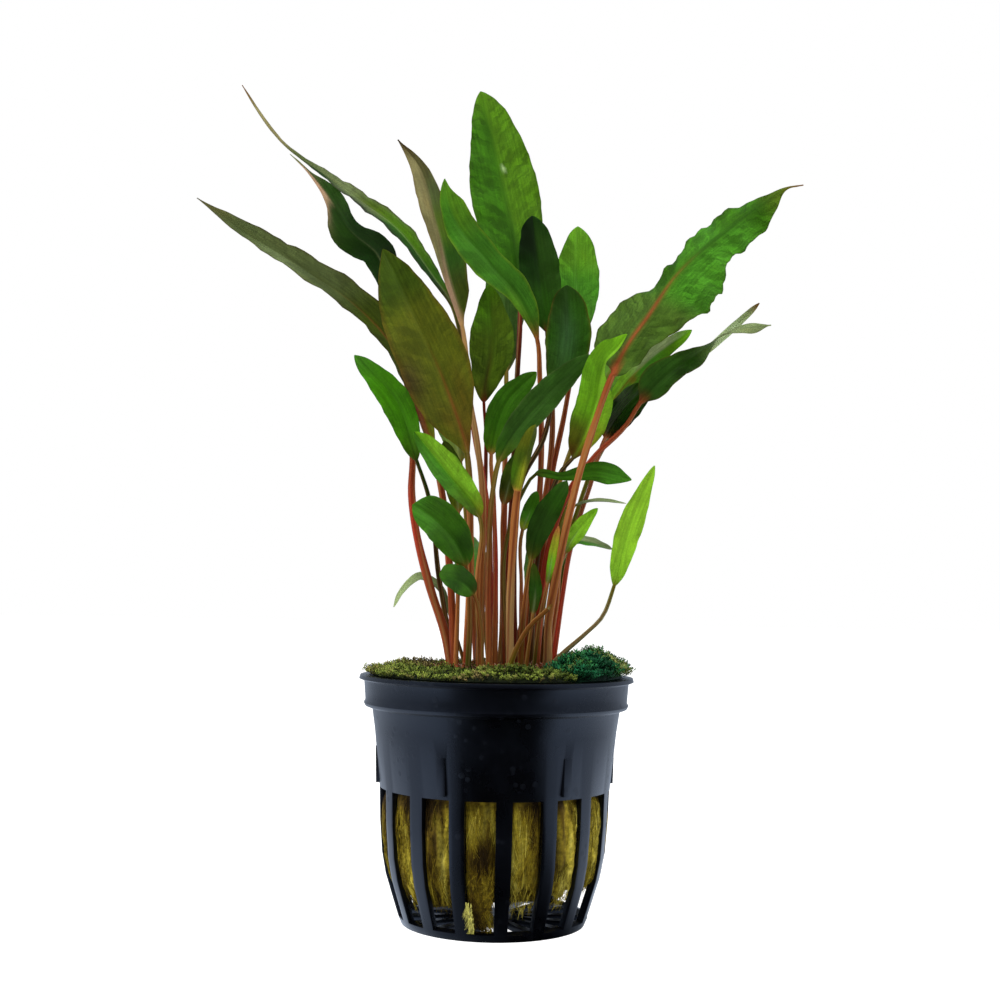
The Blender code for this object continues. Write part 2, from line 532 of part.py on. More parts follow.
def half_width(stops, share):
    """Half width at a share of the blade's rings, narrowed to a point at both ends.

    stops are evenly spaced half widths, from the stalk's end to the tip.
    """
    along = 0.5 - 0.5 * math.cos(math.pi * share)
    base = min(1.0, along / BASE_REACH)
    tip = min(1.0, (1.0 - along) / TIP_REACH)
    wide = stops[0] + (at_share(stops, share) - stops[0]) * (base * (2.0 - base)) ** BASE_SHARPNESS
    return max(wide * (tip * (2.0 - tip)) ** TIP_SHARPNESS, TIP_RADIUS)


def smooth_path(path, places):
    """Points and unit tangents of a smooth curve through a path.

    places are lengths along the path's chords.
    """
    knots = np.array(path, float)
    chord = chord_lengths(path)
    slopes = np.gradient(knots, chord, axis=0)
    nudge = 0.01

    def point(place):
        span = min(max(int(np.searchsorted(chord, place)) - 1, 0), len(knots) - 2)
        size = chord[span + 1] - chord[span]
        return hermite(knots[span], knots[span + 1], slopes[span] * size,
                       slopes[span + 1] * size, (place - chord[span]) / size)

    points = [point(place) for place in places]
    tangents = []
    for place in places:
        step = point(min(place + nudge, chord[-1])) - point(max(place - nudge, 0.0))
        tangents.append(step / np.linalg.norm(step))
    return points, tangents


def chord_lengths(path):
    """Length along a path's chords at each of its points."""
    steps = np.linalg.norm(np.diff(np.array(path, float), axis=0), axis=1)
    return np.concatenate([[0.0], np.cumsum(steps)])


def leaf_rings(leaf):
    """Rings of six points along the stalk and the blade."""
    chord = chord_lengths(leaf.path)
    blade_start = chord[leaf.blade]
    places = list(chord[:leaf.blade])
    shares = [0.0] * leaf.blade
    for i in range(leaf.rings + 1):
        shares.append(i / leaf.rings)
        along = 0.5 - 0.5 * math.cos(math.pi * shares[-1])
        places.append(blade_start + along * (chord[-1] - blade_start))
    points, tangents = smooth_path(leaf.path, places)
    left = (leaf.stalk[1], *leaf.left, TIP_RADIUS)
    right = (leaf.stalk[1], *(leaf.right or leaf.left), TIP_RADIUS)
    azimuths, rolls = zip(*leaf.face)
    face_stations = np.linspace(0.0, 1.0, len(leaf.face))
    rings = []
    for i, (point, tangent, share) in enumerate(zip(points, tangents, shares)):
        face = (np.interp(share, face_stations, azimuths), np.interp(share, face_stations, rolls))
        across, normal = blade_frame(tangent, face)
        radius = np.interp(places[i], (0.0, blade_start), leaf.stalk)
        half = {1: radius, -1: radius}
        if i > leaf.blade:
            half = {1: half_width(right, share), -1: half_width(left, share)}
        flat = min(1.0, share / FLAT_FROM)
        fold = math.radians(leaf.fold) * flat
        thick = (STALK_THICKNESS * radius * (1.0 - flat)
                 + min(BLADE_HALF_THICKNESS, *half.values()) * flat)
        ring = []
        for side, lift in LEAF_SECTION:
            out = abs(side) * half[1 if side > 0 else -1]
            offset = (across * math.copysign(out, side) * math.cos(fold)
                      + normal * (out * math.sin(fold) + lift * thick))
            ring.append(tuple(point + offset))
        rings.append(ring)
    return rings


def main():
    """Build the pot, its filling and the plant."""
    for old in list(bpy.data.objects):
        bpy.data.objects.remove(old, do_unlink=True)
    plant = bpy.data.objects.new("potted_cryptocoryne", None)
    bpy.context.scene.collection.objects.link(plant)
    make_pot(plant)
    make_wool(plant)
    make_crown(plant)
    make_moss("olive_moss", -224.0, 36.0, 26, LOW_MOSS, (0.13, 0.13, 0.02), plant)
    make_moss("green_moss", 40.0, 132.0, 10, HIGH_MOSS, (0.02, 0.07, 0.02), plant)
    for leaf in LEAVES:
        add_object(leaf.name, *lofted(leaf_rings(leaf)), material(leaf.name, leaf.colour), plant)


main()
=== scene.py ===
"""Looks of the potted cryptocoryne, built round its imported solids.

Positions in this file are in millimetres until a mesh is made, which is in metres.
The origin is the middle of the pot's underside, +Z is up and the front looks along -Y.
"""

import math
from dataclasses import dataclass

import bmesh
import bpy
import numpy as np
from mathutils import Matrix, Vector


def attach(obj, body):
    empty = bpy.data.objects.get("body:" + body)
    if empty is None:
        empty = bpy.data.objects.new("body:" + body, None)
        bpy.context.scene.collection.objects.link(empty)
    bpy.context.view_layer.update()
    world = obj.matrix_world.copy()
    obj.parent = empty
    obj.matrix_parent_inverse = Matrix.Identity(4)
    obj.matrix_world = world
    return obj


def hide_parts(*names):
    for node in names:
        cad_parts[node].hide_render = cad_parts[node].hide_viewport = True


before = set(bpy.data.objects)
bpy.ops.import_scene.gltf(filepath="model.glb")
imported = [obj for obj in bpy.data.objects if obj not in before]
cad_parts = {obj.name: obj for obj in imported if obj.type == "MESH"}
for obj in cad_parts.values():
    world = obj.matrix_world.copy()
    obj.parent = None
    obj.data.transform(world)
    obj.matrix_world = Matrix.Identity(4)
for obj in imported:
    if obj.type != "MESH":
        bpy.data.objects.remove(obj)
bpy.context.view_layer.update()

MM = 0.001

# Camera: place, upward pitch and roll in degrees, and focal length on a 36 mm sensor
CAMERA_PLACE = (0.1, -290.0, 65.0)
CAMERA_PITCH = 3.55
CAMERA_ROLL = 0.95
CAMERA_LENS = 52.2

# Stalks: level of the first path point, how deep they sink below it, ring spacing, depth against
# width, and the strength and length of their knobs
STALK_START = 50.1
STALK_SUNK = 1.6
STALK_STEP = 1.7
STALK_THICKNESS = 0.87
STALK_KNOBS = 0.05
KNOB_LENGTH = 2.3
# How much a stalk's flat coordinate is drawn out, which makes its streaks run lengthwise
STALK_STREAK = 0.12
STALK_SPREAD = 2.2
# Painted streaks of a stalk, its own streaky colour with the pale ones partly painted highlight and
# the dark ones partly painted shade: how often each goes round and its length, then their strengths
STREAKS = ((2.0, 11.0), (5.0, 6.0))
PALE_STREAK_AND_HIGHLIGHT = 0.45
DARK_STREAK_AND_SHADE = 0.65

# Where a blade narrows to a point at its ends: the length, as a share of the blade, and the power
BASE_REACH = 0.16
BASE_SHARPNESS = 0.4
TIP_REACH = 0.14
TIP_SHARPNESS = 0.3
TIP_RADIUS = 0.16
# Share of a blade's rings over which the round stalk flattens, and rings for each unit in a leaf
FLAT_FROM = 0.25
FINE_RINGS = 5
# Where a blade's cross-section has its points, as shares of the half width
SECTION = (0.0, 0.045, 0.11, 0.22, 0.36, 0.52, 0.68, 0.82, 0.93, 1.0)
# Thickness above and below the middle, the share of it that is lost at the margin, and the half
# width below which a blade is thinner
BLADE_TOP = 0.16
BLADE_UNDER = 0.14
DOME = 0.75
THIN_WIDTH = 0.6
# Midrib: half width, groove above and ridge below
RIB_HALF_WIDTH = 0.5
RIB_GROOVE = 0.10
RIB_UNDER = 0.24
# Waves of a margin: strength, share of the leaf's own wave length, phases of right and left half.
# Their height grows from the midrib to the margin by a power.
WAVE_LENGTHS = (7.0, 10.0)
WAVES = ((0.7, 1.0, 0, 1), (0.4, 1.0 / 2.35, 2, 3))
WAVE_POWER = 2.2
# Ruffles of an outline: strength, length, phases of right and left half, and where they end
RUFFLES = ((1.0, 5.3, 2, 5), (0.6, 2.9, 0, 3))
RUFFLE_END = 0.97
# Half width up to which waves and ruffles are weaker
CALM_WIDTH = 3.0
# How pale and how shaded a blade's underside is
UNDER_PALE = 0.35
UNDER_SHADE = 0.6
# Where the halves' colours meet, to each side of the midrib, and where the midrib's colour fades
HALVES_BLEND = 0.16
RIB_FADES = (0.6, 0.25)

# Pot
POT_HEIGHT = 48.0
LIP_RADIUS = 27.2
BASE_RADIUS = 18.0
FLOOR_THICKNESS = 1.3
DISC_RADIUS = 6.0
RIB_COUNT = 16
RIB_PITCH = 360.0 / RIB_COUNT
RIB_PHASE = 4.7
RIB_ANGLE = 7.6
FIN_ANGLES = (-85.0, -25.0, 35.0, 95.0, 155.0, 215.0)
FIN_WIDTH = 1.7


def linear(red, green, blue):
    """Linear colour from 8-bit screen values."""
    screen = np.array((red, green, blue)) / 255.0
    return tuple(np.where(screen <= 0.04045, screen / 12.92, ((screen + 0.055) / 1.055) ** 2.4))


COLOURS = {
    "bright": linear(92, 146, 28),
    "fresh": linear(114, 164, 48),
    "lime": linear(122, 168, 52),
    "lush": linear(62, 126, 14),
    "spring": linear(76, 124, 34),
    "yellow_green": linear(122, 132, 36),
    "mid": linear(56, 112, 34),
    "leaf_green": linear(60, 98, 16),
    "green": linear(42, 86, 14),
    "deep": linear(28, 64, 12),
    "forest": linear(24, 52, 14),
    "dark": linear(12, 40, 8),
    "near_black": linear(5, 22, 6),
    "blue_green": linear(38, 72, 28),
    "blue_sheen": linear(70, 104, 104),
    "sage": linear(56, 82, 34),
    "olive": linear(82, 90, 22),
    "olive_green": linear(58, 80, 18),
    "dark_olive": linear(46, 58, 12),
    "grey_olive": linear(60, 70, 50),
    "bronze": linear(86, 80, 24),
    "brown": linear(96, 62, 28),
    "dark_brown": linear(46, 30, 14),
    "umber": linear(60, 48, 32),
    "red_brown": linear(124, 56, 40),
    "dark_red": linear(88, 20, 22),
    "red": linear(146, 44, 40),
    "beige": linear(142, 110, 92),
    "grey_beige": linear(112, 106, 94),
    "pink_beige": linear(148, 120, 128),
    "pale_green": linear(126, 142, 128),
    "grey_green": linear(84, 96, 80),
    "grey_brown": linear(66, 62, 46),
    "orange_brown": linear(140, 84, 56),
    "silver": linear(164, 182, 184),
}


@dataclass
class Leaf:
    """One leaf: a stalk and a blade along one smooth path.

    path runs from the crown to the tip, and blade is the path point where the blade begins.
    left and right are the blade's half widths at evenly spread stations between its base and its
    tip, and right is left out where both halves are alike.
    face is where the upper side looks at stations from base to tip: an azimuth from the front
    towards +X, then a roll about the path. fold is how far each half is raised from flat.
    """
    name: str
    path: list
    blade: int
    left: tuple
    right: tuple = ()
    face: tuple = ((0, 0), (0, 0))
    fold: float = 12.0
    stalk: tuple = (0.76, 0.42)
    rings: int = 9


LEAVES = [
    Leaf("bronze_front_leaf",
         [(-5.8, -6.3, STALK_START), (-5.5, -7.5, 70.7), (-5.7, -8.2, 80.4), (-6.5, -9.5, 91.5),
          (-10.4, -13, 103.2), (-14.7, -17, 112.7), (-18.8, -21.5, 120.8), (-22.3, -25.5, 127.5)],
         3, (1.9, 4.7, 7.1, 7.3, 6.8, 4.6, 1.9), (1.2, 2.7, 5.5, 6.3, 5.1, 3.4, 1.6),
         ((0, 0), (0, 12)), 12, (0.84, 0.61)),
    Leaf("bright_lance_leaf",
         [(-3.0, -8.3, STALK_START), (-4.0, -9.5, 67), (-3.8, -10.5, 79), (-9.7, -13, 86.8),
          (-16.4, -15, 94.8)],
         2, (2.1, 3.3, 2.1), (), ((0, 12), (0, 12)), 28, (0.67, 0.38)),
    Leaf("oval_leaf",
         [(-5.5, -9.5, STALK_START), (-5.4, -10.8, 61), (-6.2, -12, 69.5), (-10.9, -16.5, 76.9),
          (-16.2, -20, 80.6)],
         2, (2.3, 3.5, 2.6), (2.6, 4.1, 3.6), ((0, 10), (0, 10)), 8, (0.59, 0.38), 7),
    Leaf("small_dark_oval_leaf",
         [(-2.8, -11.0, STALK_START), (-3.2, -11.8, 58), (-4.6, -13, 64), (-7.8, -16, 66.9),
          (-11.0, -19, 67.6)],
         2, (1.9, 2.7, 2.1), (), ((0, 20), (0, 20)), 8, (0.46, 0.34), 7),
    Leaf("beige_stalk_leaf",
         [(2.6, -8.0, STALK_START), (2.4, -8.1, 63), (2.8, -8.3, 74.7), (3.5, -8.5, 84.2),
          (4.7, -9, 90), (6.8, -9.6, 97.2)],
         3, (1.7, 2.3, 1.5), (0.9, 1.2, 0.9), ((0, -10), (0, -10)), 20, (0.8, 0.75)),
    Leaf("small_upright_leaf",
         [(5.6, -9.0, STALK_START), (6.8, -9.6, 60.5), (7.2, -10, 65), (6.8, -10.5, 70.2)],
         1, (0.9, 1.3, 0.8), (), stalk=(0.42, 0.34), rings=6),
    Leaf("yellow_strip_leaf",
         [(7.2, -6.4, STALK_START), (8.4, -7.6, 61), (9.5, -8.8, 66.2), (10.7, -10, 73.6),
          (11.5, -10.4, 77.5)],
         2, (0.6, 0.85, 0.6), (), stalk=(0.42, 0.34), rings=6),
    Leaf("long_left_leaf",
         [(-8.2, -3.4, STALK_START), (-9.8, -3.8, 71), (-11.2, -4, 83), (-13.1, -4.5, 91.4),
          (-16.6, -6, 102.1), (-22.4, -8.5, 113.5), (-29.4, -10.5, 120.3), (-39, -12, 126.5),
          (-52, -13.5, 134.4), (-59.4, -14, 139.6)],
         3, (1.2, 1.6, 2.3, 3.0, 2.7, 1.9, 0.6), (1.2, 2.6, 3.8, 4.1, 3.4, 2.4, 0.7),
         ((0, 30), (0, 45)), 15, (0.84, 0.61), 12),
    Leaf("high_left_leaf",
         [(-1.2, -0.4, STALK_START), (-1.6, -0.6, 66), (-2.5, -0.5, 81.9), (-5.6, 0.5, 98.1),
          (-7.9, 2, 113.5), (-10.2, 3, 122.5), (-15.3, 4, 130.1), (-21.4, 5, 138.2),
          (-29.7, 7, 145), (-38.1, 9.5, 151.4), (-47.6, 12.5, 159.2), (-53.2, 13.5, 166.6),
          (-56.5, 14, 171.8)],
         5, (1.3, 2.3, 3.2, 2.2, 0.4, 0.6, 0.4), (1.3, 2.1, 2.8, 2.1, 0.8, 0.5, 0.4),
         ((0, 45), (0, 45)), 16, (0.8, 0.46), 13),
    Leaf("twisted_dark_leaf",
         [(-9.1, -1, STALK_START), (-9.9, -1, 54.5), (-13.5, -1, 65.2), (-17.0, 0, 78.7),
          (-17.7, 0.5, 84.7), (-17.6, 1, 90.8), (-19.7, 3.2, 109.4), (-21.8, 6, 121.2),
          (-24.7, 9, 130.8), (-26.6, 11, 135), (-32.2, 13, 140.1), (-36.7, 16, 146.9),
          (-42.9, 19, 155.1), (-46.8, 20, 158.8)],
         7, (1.0, 2.1, 3.2, 4.3, 1.2, 0.5, 0.3), (1.0, 2.5, 4.0, 2.3, 2.9, 0.5, 0.3),
         ((0, -10), (0, -10), (0, 0), (0, 60)), 15, (0.95, 0.5), 13),
    Leaf("pointed_brown_leaf",
         [(-3.4, -3.4, STALK_START), (-3.2, -3.4, 71), (-3.4, -3.2, 84), (-4.6, -3, 94),
          (-6.2, -3, 102.7), (-8.1, -3, 117.7), (-11, -3, 126.8), (-13.7, -2.5, 138.4),
          (-17.6, -1, 150.6), (-21.9, 0, 156.1)],
         5, (0.6, 0.7, 1.1, 2.1, 2.6, 1.5, 0.5), (1.2, 3.8, 4.9, 3.4, 2.4, 1.2, 0.4),
         ((0, -10), (0, -10)), 20, (0.8, 0.46)),
    Leaf("lower_left_leaf",
         [(-8.6, 1.6, STALK_START), (-11.8, 0.6, 67), (-14.3, -2.4, 84), (-16.5, -5.6, 90.3),
          (-20.4, -9, 101), (-28.5, -12, 109.8)],
         3, (2.0, 3.2, 1.9), (), ((0, 0), (0, 10)), 18, (0.59, 0.38)),
    Leaf("thin_drooping_leaf",
         [(-6.5, 3.8, STALK_START), (-9.9, 3.8, 60.4), (-11.8, 4, 65.2), (-15.8, 4, 67.4),
          (-19.2, 3.8, 64.7), (-21, 3.5, 61.2)],
         1, (0.7, 1.05, 0.7), (), ((0, 40), (0, 40)), 10, (0.42, 0.3), 8),
    Leaf("small_olive_leaf",
         [(-8.0, -6.0, STALK_START), (-7.8, -6.6, 68), (-8, -6.8, 80), (-9, -7, 87),
          (-11, -7.5, 94)],
         2, (1.5, 2.2, 1.4), (), stalk=(0.5, 0.34), rings=7),
    Leaf("tall_centre_leaf",
         [(0.8, 4.0, STALK_START), (2.6, 4.4, 83), (3.2, 5, 108), (3.6, 8, 124),
          (-1.1, 16, 155), (-5.6, 20, 173.4)],
         3, (4.7, 7.4, 3.7), (4.5, 7.3, 4.7), fold=8, stalk=(0.84, 0.49), rings=10),
    Leaf("leaning_leaf",
         [(5.5, 1.6, STALK_START), (7.2, 2.8, 72), (8.3, 3.4, 90), (7.8, 3.4, 108.2),
          (7.1, 3, 116.3), (3.8, 0.5, 123.2), (-3.3, -4.5, 130.6), (-9.3, -9.5, 136.9),
          (-11.4, -11.5, 142.1), (-11.7, -12.5, 144.6)],
         4, (0.8, 1.4, 2.2, 3.7, 3.4, 2.0, 1.0), (1.0, 2.4, 3.4, 3.0, 3.3, 3.0, 1.0),
         stalk=(0.8, 0.46), rings=10),
    Leaf("dark_middle_leaf",
         [(3.6, 5.6, STALK_START), (8, 5.6, 75), (10.6, 5.5, 98), (9.2, 6, 118.4),
          (7.4, 8, 131.8), (5.9, 10, 143.5)],
         3, (2.9, 4.3, 3.0), (), ((0, 0), (0, 15)), 10, (0.76, 0.46)),
    Leaf("olive_middle_leaf",
         [(-3.9, 2.2, STALK_START), (-3.2, 3.4, 70), (-2.9, 3.4, 85), (-3.1, 3, 98),
          (-3.5, 2.2, 103), (-2.1, 1, 114), (-2.8, 1, 126.9)],
         4, (2.5, 4.7, 2.3), (), fold=14, stalk=(0.67, 0.3)),
    Leaf("blue_green_diagonal_leaf",
         [(-1.5, -5.6, STALK_START), (-1.9, -5.8, 71), (-1.4, -5.6, 84), (-0.3, -5, 90.2),
          (8.8, -3, 103.5), (17.6, -1, 112.5)],
         3, (2.1, 3.1, 1.9), (), fold=14, stalk=(0.71, 0.46)),
    Leaf("green_diagonal_leaf",
         [(-0.4, -3.0, STALK_START), (-0.6, -2.8, 71), (-1.2, -2.2, 84), (-1.8, -1.6, 92),
          (1.2, -0.8, 102.6), (7, -0.4, 108.9)],
         3, (2.0, 3.0, 1.8), (), stalk=(0.59, 0.38)),
    Leaf("blue_green_broad_leaf",
         [(3.6, 0.2, STALK_START), (3.2, 0.8, 75), (4.5, 1, 87.2), (8.6, 1.4, 95.4),
          (10.6, 1.5, 104), (12.7, 2, 111), (13.5, 2.8, 118), (13.1, 4, 127.6)],
         4, (2.8, 4.7, 3.3), (), ((0, 0), (0, 8)), 8, (0.71, 0.46)),
    Leaf("rounded_green_leaf",
         [(6.0, 5.8, STALK_START), (9, 6.6, 72), (10.9, 7, 90), (13.2, 7.5, 102),
          (15.2, 10, 117), (15.6, 14, 129.7), (15.8, 16, 142.9)],
         4, (3.1, 5.1, 2.8), (3.0, 4.8, 3.3), ((0, 0), (0, 8)), 8, (0.76, 0.46)),
    Leaf("small_shaded_leaf",
         [(1.6, -0.2, STALK_START), (0.8, 0, 70), (0.9, 0, 82), (2, 0, 87), (3.4, 0, 92.5)],
         2, (1.3, 1.9, 1.2), (), stalk=(0.42, 0.34), rings=6),
    Leaf("dark_oval_leaf",
         [(4.6, -5.2, STALK_START), (5, -5.2, 60), (6.4, -5, 71), (7.5, -4.4, 75.9),
          (9.4, -3.5, 80.2), (11.4, -2.8, 83.6), (13.4, -2.2, 86.9)],
         2, (1.7, 2.5, 1.6), (), fold=8, stalk=(0.63, 0.42), rings=8),
    Leaf("small_forked_leaf",
         [(4.8, -2.4, STALK_START), (4.6, -1.8, 66), (4.7, -1.2, 77), (6.2, -1, 81),
          (7.4, -0.8, 84.8)],
         2, (1.1, 1.6, 1.0), (), stalk=(0.42, 0.34), rings=6),
    Leaf("big_wavy_leaf",
         [(10.0, -4.0, STALK_START), (10.0, -5.6, 59), (11.2, -7, 67.1), (13.6, -8.6, 79.9),
          (15.7, -9, 88.9), (18.8, -9.4, 99.3), (21.5, -10.1, 107), (23.9, -10.5, 112.1),
          (28.3, -11, 118.6), (33.6, -11.5, 126.5), (38.3, -12, 131.3), (43, -13, 135.1),
          (49, -15, 139.5), (54.3, -17, 142.7), (57, -17.6, 143.1)],
         6, (1.0, 8.1, 8.5, 8.2, 3.2, 3.6, 4.7, 3.8, 1.5, 0.5, 0.3),
         (3.6, 4.3, 4.5, 6.1, 9.1, 9.0, 5.3, 5.3, 3.2, 0.5, 0.3),
         ((0, -32), (0, -25)), -12, (0.88, 0.64), 18),
    Leaf("bright_right_leaf",
         [(6.6, -2.6, STALK_START), (6.8, -2, 59), (7.7, -0.6, 71.1), (10.5, 0.8, 85.2),
          (12.4, 0.8, 89.2), (14.6, -1, 91.6), (16.6, -5, 95.8), (18.8, -7.4, 102.5),
          (19.4, -8.6, 107), (20.3, -10.9, 110), (22.4, -12.2, 112.3), (24, -13.2, 114.6)],
         5, (1.8, 2.7, 3.9, 3.9, 3.6, 2.8, 1.3), (1.0, 2.2, 3.4, 3.1, 0.5, 0.5, 0.4),
         ((0, 5), (0, -15)), 12, (0.76, 0.38), 10),
    Leaf("low_right_leaf",
         [(7.8, 0.4, STALK_START), (8.6, 0.6, 63.1), (10.1, 1, 73.8), (12.2, 1.4, 80.9),
          (14.6, 1.8, 86.2), (19, 2.6, 92.2), (25.8, 3.4, 99.3), (28.3, 3.4, 103.5),
          (34.3, 3, 109.8), (40.8, 3, 114.4), (45.4, 2.8, 117.8), (50.6, 2.2, 119.3),
          (54.6, 1.8, 119.6)],
         7, (1.0, 3.2, 3.9, 2.7, 1.6, 0.5, 1.6, 1.5, 0.4),
         (1.2, 2.6, 2.8, 2.6, 2.3, 0.6, 2.0, 0.9, 0.3),
         ((0, -10), (0, -10), (0, -20), (0, 90), (0, 155), (0, 160)), 8, (0.8, 0.46), 14),
    Leaf("pale_tip_leaf",
         [(9.6, 5.6, STALK_START), (11.3, 6.8, 64), (15, 8.2, 78), (20.4, 8.6, 93), (28, 8, 104),
          (38.7, 6.2, 111.8), (46.5, 5.2, 118.9), (52.7, 4.8, 124.7)],
         5, (0.6, 0.9, 0.7), (), ((0, 20), (0, 20)), 14, (0.59, 0.38)),
    Leaf("yellow_green_leaf",
         [(7.9, 7.5, STALK_START), (10.6, 9.2, 70), (16.3, 10.4, 90), (22.7, 10.2, 103.8),
          (28.9, 10.4, 111.7), (35.5, 10.7, 117.2), (39.7, 11, 120)],
         3, (1.8, 2.3, 1.5), (), ((0, 10), (0, 20)), 16, (0.67, 0.38)),
    Leaf("glossy_dark_leaf",
         [(11.2, 1.4, STALK_START), (12.9, 2.6, 63.2), (14.3, 3.8, 72.3), (16.4, 4.8, 80.1),
          (18.6, 5.1, 86.9), (21.4, 5.4, 96.4), (24.5, 5.3, 101.5), (30, 5.4, 107.5)],
         5, (2.2, 3.1, 2.4), (), ((0, 10), (0, 10)), 14, (0.55, 0.38)),
    Leaf("flat_right_leaf",
         [(2.2, -3.0, STALK_START), (1.8, -2.6, 76), (4.4, -2, 84), (7.2, -1.2, 88.2),
          (12.6, -0.8, 87.9), (18.6, -1.4, 88.9), (26.2, -2.4, 87.3)],
         3, (0.9, 0.8, 1.6, 2.2, 1.0), (), fold=8, stalk=(0.5, 0.34)),
    Leaf("arching_thin_leaf",
         [(8.8, 2.6, STALK_START), (10.4, 2.8, 64), (13.3, 2.8, 78.8), (15.3, 3, 82.3),
          (17.6, 3.2, 83.2), (21.6, 3.4, 83.4), (25.7, 3.2, 82.9)],
         3, (0.5, 0.75, 0.5), (), ((0, -60), (0, -60)), 10, (0.42, 0.3), 7),
    Leaf("small_light_leaf",
         [(10.0, -1.0, STALK_START), (11.6, -2, 62), (13, -3, 72.5), (15.7, -4, 77),
          (19.4, -4.4, 81.4)],
         2, (1.1, 1.7, 1.0), (1.1, 1.6, 0.75), stalk=(0.55, 0.38), rings=7),
    Leaf("striped_edge_leaf",
         [(11.0, 3.8, STALK_START), (12.4, 5.2, 60), (13.8, 5.9, 71.4), (15.6, 6.4, 75),
          (19.6, 6.8, 74.8), (23.3, 7, 73.7)],
         2, (0.9, 1.6, 1.1), (), ((0, -55), (0, -55)), 10, (0.5, 0.34), 7),
    Leaf("far_right_leaf",
         [(10.3, -6.5, STALK_START), (12, -7, 52.1), (17, -8.6, 56.8), (19.9, -9.2, 59.7),
          (22.4, -10.2, 66.3), (24.7, -12, 76), (29.4, -15, 89.1)],
         4, (1.9, 2.5, 1.2), (1.6, 2.4, 1.1), fold=10, stalk=(0.5, 0.34)),
    Leaf("back_left_leaf",
         [(-4.0, 6.2, STALK_START), (-6, 11, 72), (-8.5, 17, 92), (-12, 25, 108),
          (-16, 31, 121)],
         2, (2.8, 4.5, 2.8), (), ((180, 0), (180, 0)), 14, (0.8, 0.46)),
    Leaf("back_low_left_leaf",
         [(-1.5, 6.8, STALK_START), (-3.4, 14, 62), (-6, 23, 72), (-8, 34, 78)],
         1, (2.3, 3.7, 2.3), (), ((180, 0), (180, 10)), 12, (0.67, 0.38)),
    Leaf("back_low_right_leaf",
         [(4.0, 8.0, STALK_START), (7, 15, 63), (9.6, 24, 74), (12, 33, 82)],
         1, (2.2, 3.5, 2.2), (), ((180, 0), (180, -10)), 12, (0.67, 0.38)),
    Leaf("back_right_leaf",
         [(6.2, 8.6, STALK_START), (10, 14.3, 78), (17, 20, 100), (28, 26, 120),
          (38, 29, 133)],
         2, (2.6, 4.2, 2.6), (), ((150, 0), (150, 0)), 14, (0.8, 0.46)),
    Leaf("back_tall_leaf",
         [(1.2, 7.2, STALK_START), (1, 12, 85), (1, 19.5, 112), (0.4, 28, 135), (-0.6, 34, 151)],
         2, (2.8, 4.5, 2.8), (), ((180, 0), (180, 0)), 12, (0.8, 0.46)),
    Leaf("withered_stalk",
         [(2.4, -11.0, STALK_START), (3.6, -11.6, 53.6), (6.2, -12, 58.2), (9.6, -12.4, 61.5),
          (10.4, -12.2, 62.4)],
         3, (0.35,), (), fold=5, stalk=(0.55, 0.42), rings=3),
]


@dataclass
class Look:
    """Colours of one leaf.

    stalk is a row of colours from the root to the neck, and blade from the base to the tip, with
    left/right where the halves differ. rib is the midrib's colour, half width and strength, and
    edge the margin's colour, width as a share, and strength.
    spots are (along, across, length, width, colour, strength): along from 0 at the base to 1 at
    the tip, across from -1 at the left margin to 1 at the right one, sizes in the same shares.
    wave is the height of the margin's waves, ruffle how far its outline runs in and out, and
    veins the strength of the side veins.
    """
    slot: str
    stalk: str
    blade: str
    rib: tuple = ("pale_green", 0.22, 0.35)
    edge: tuple = ("dark", 0.08, 0.2)
    spots: tuple = ()
    wave: float = 0.35
    ruffle: float = 0.06
    veins: float = 0.5
    finish: str = "satin"


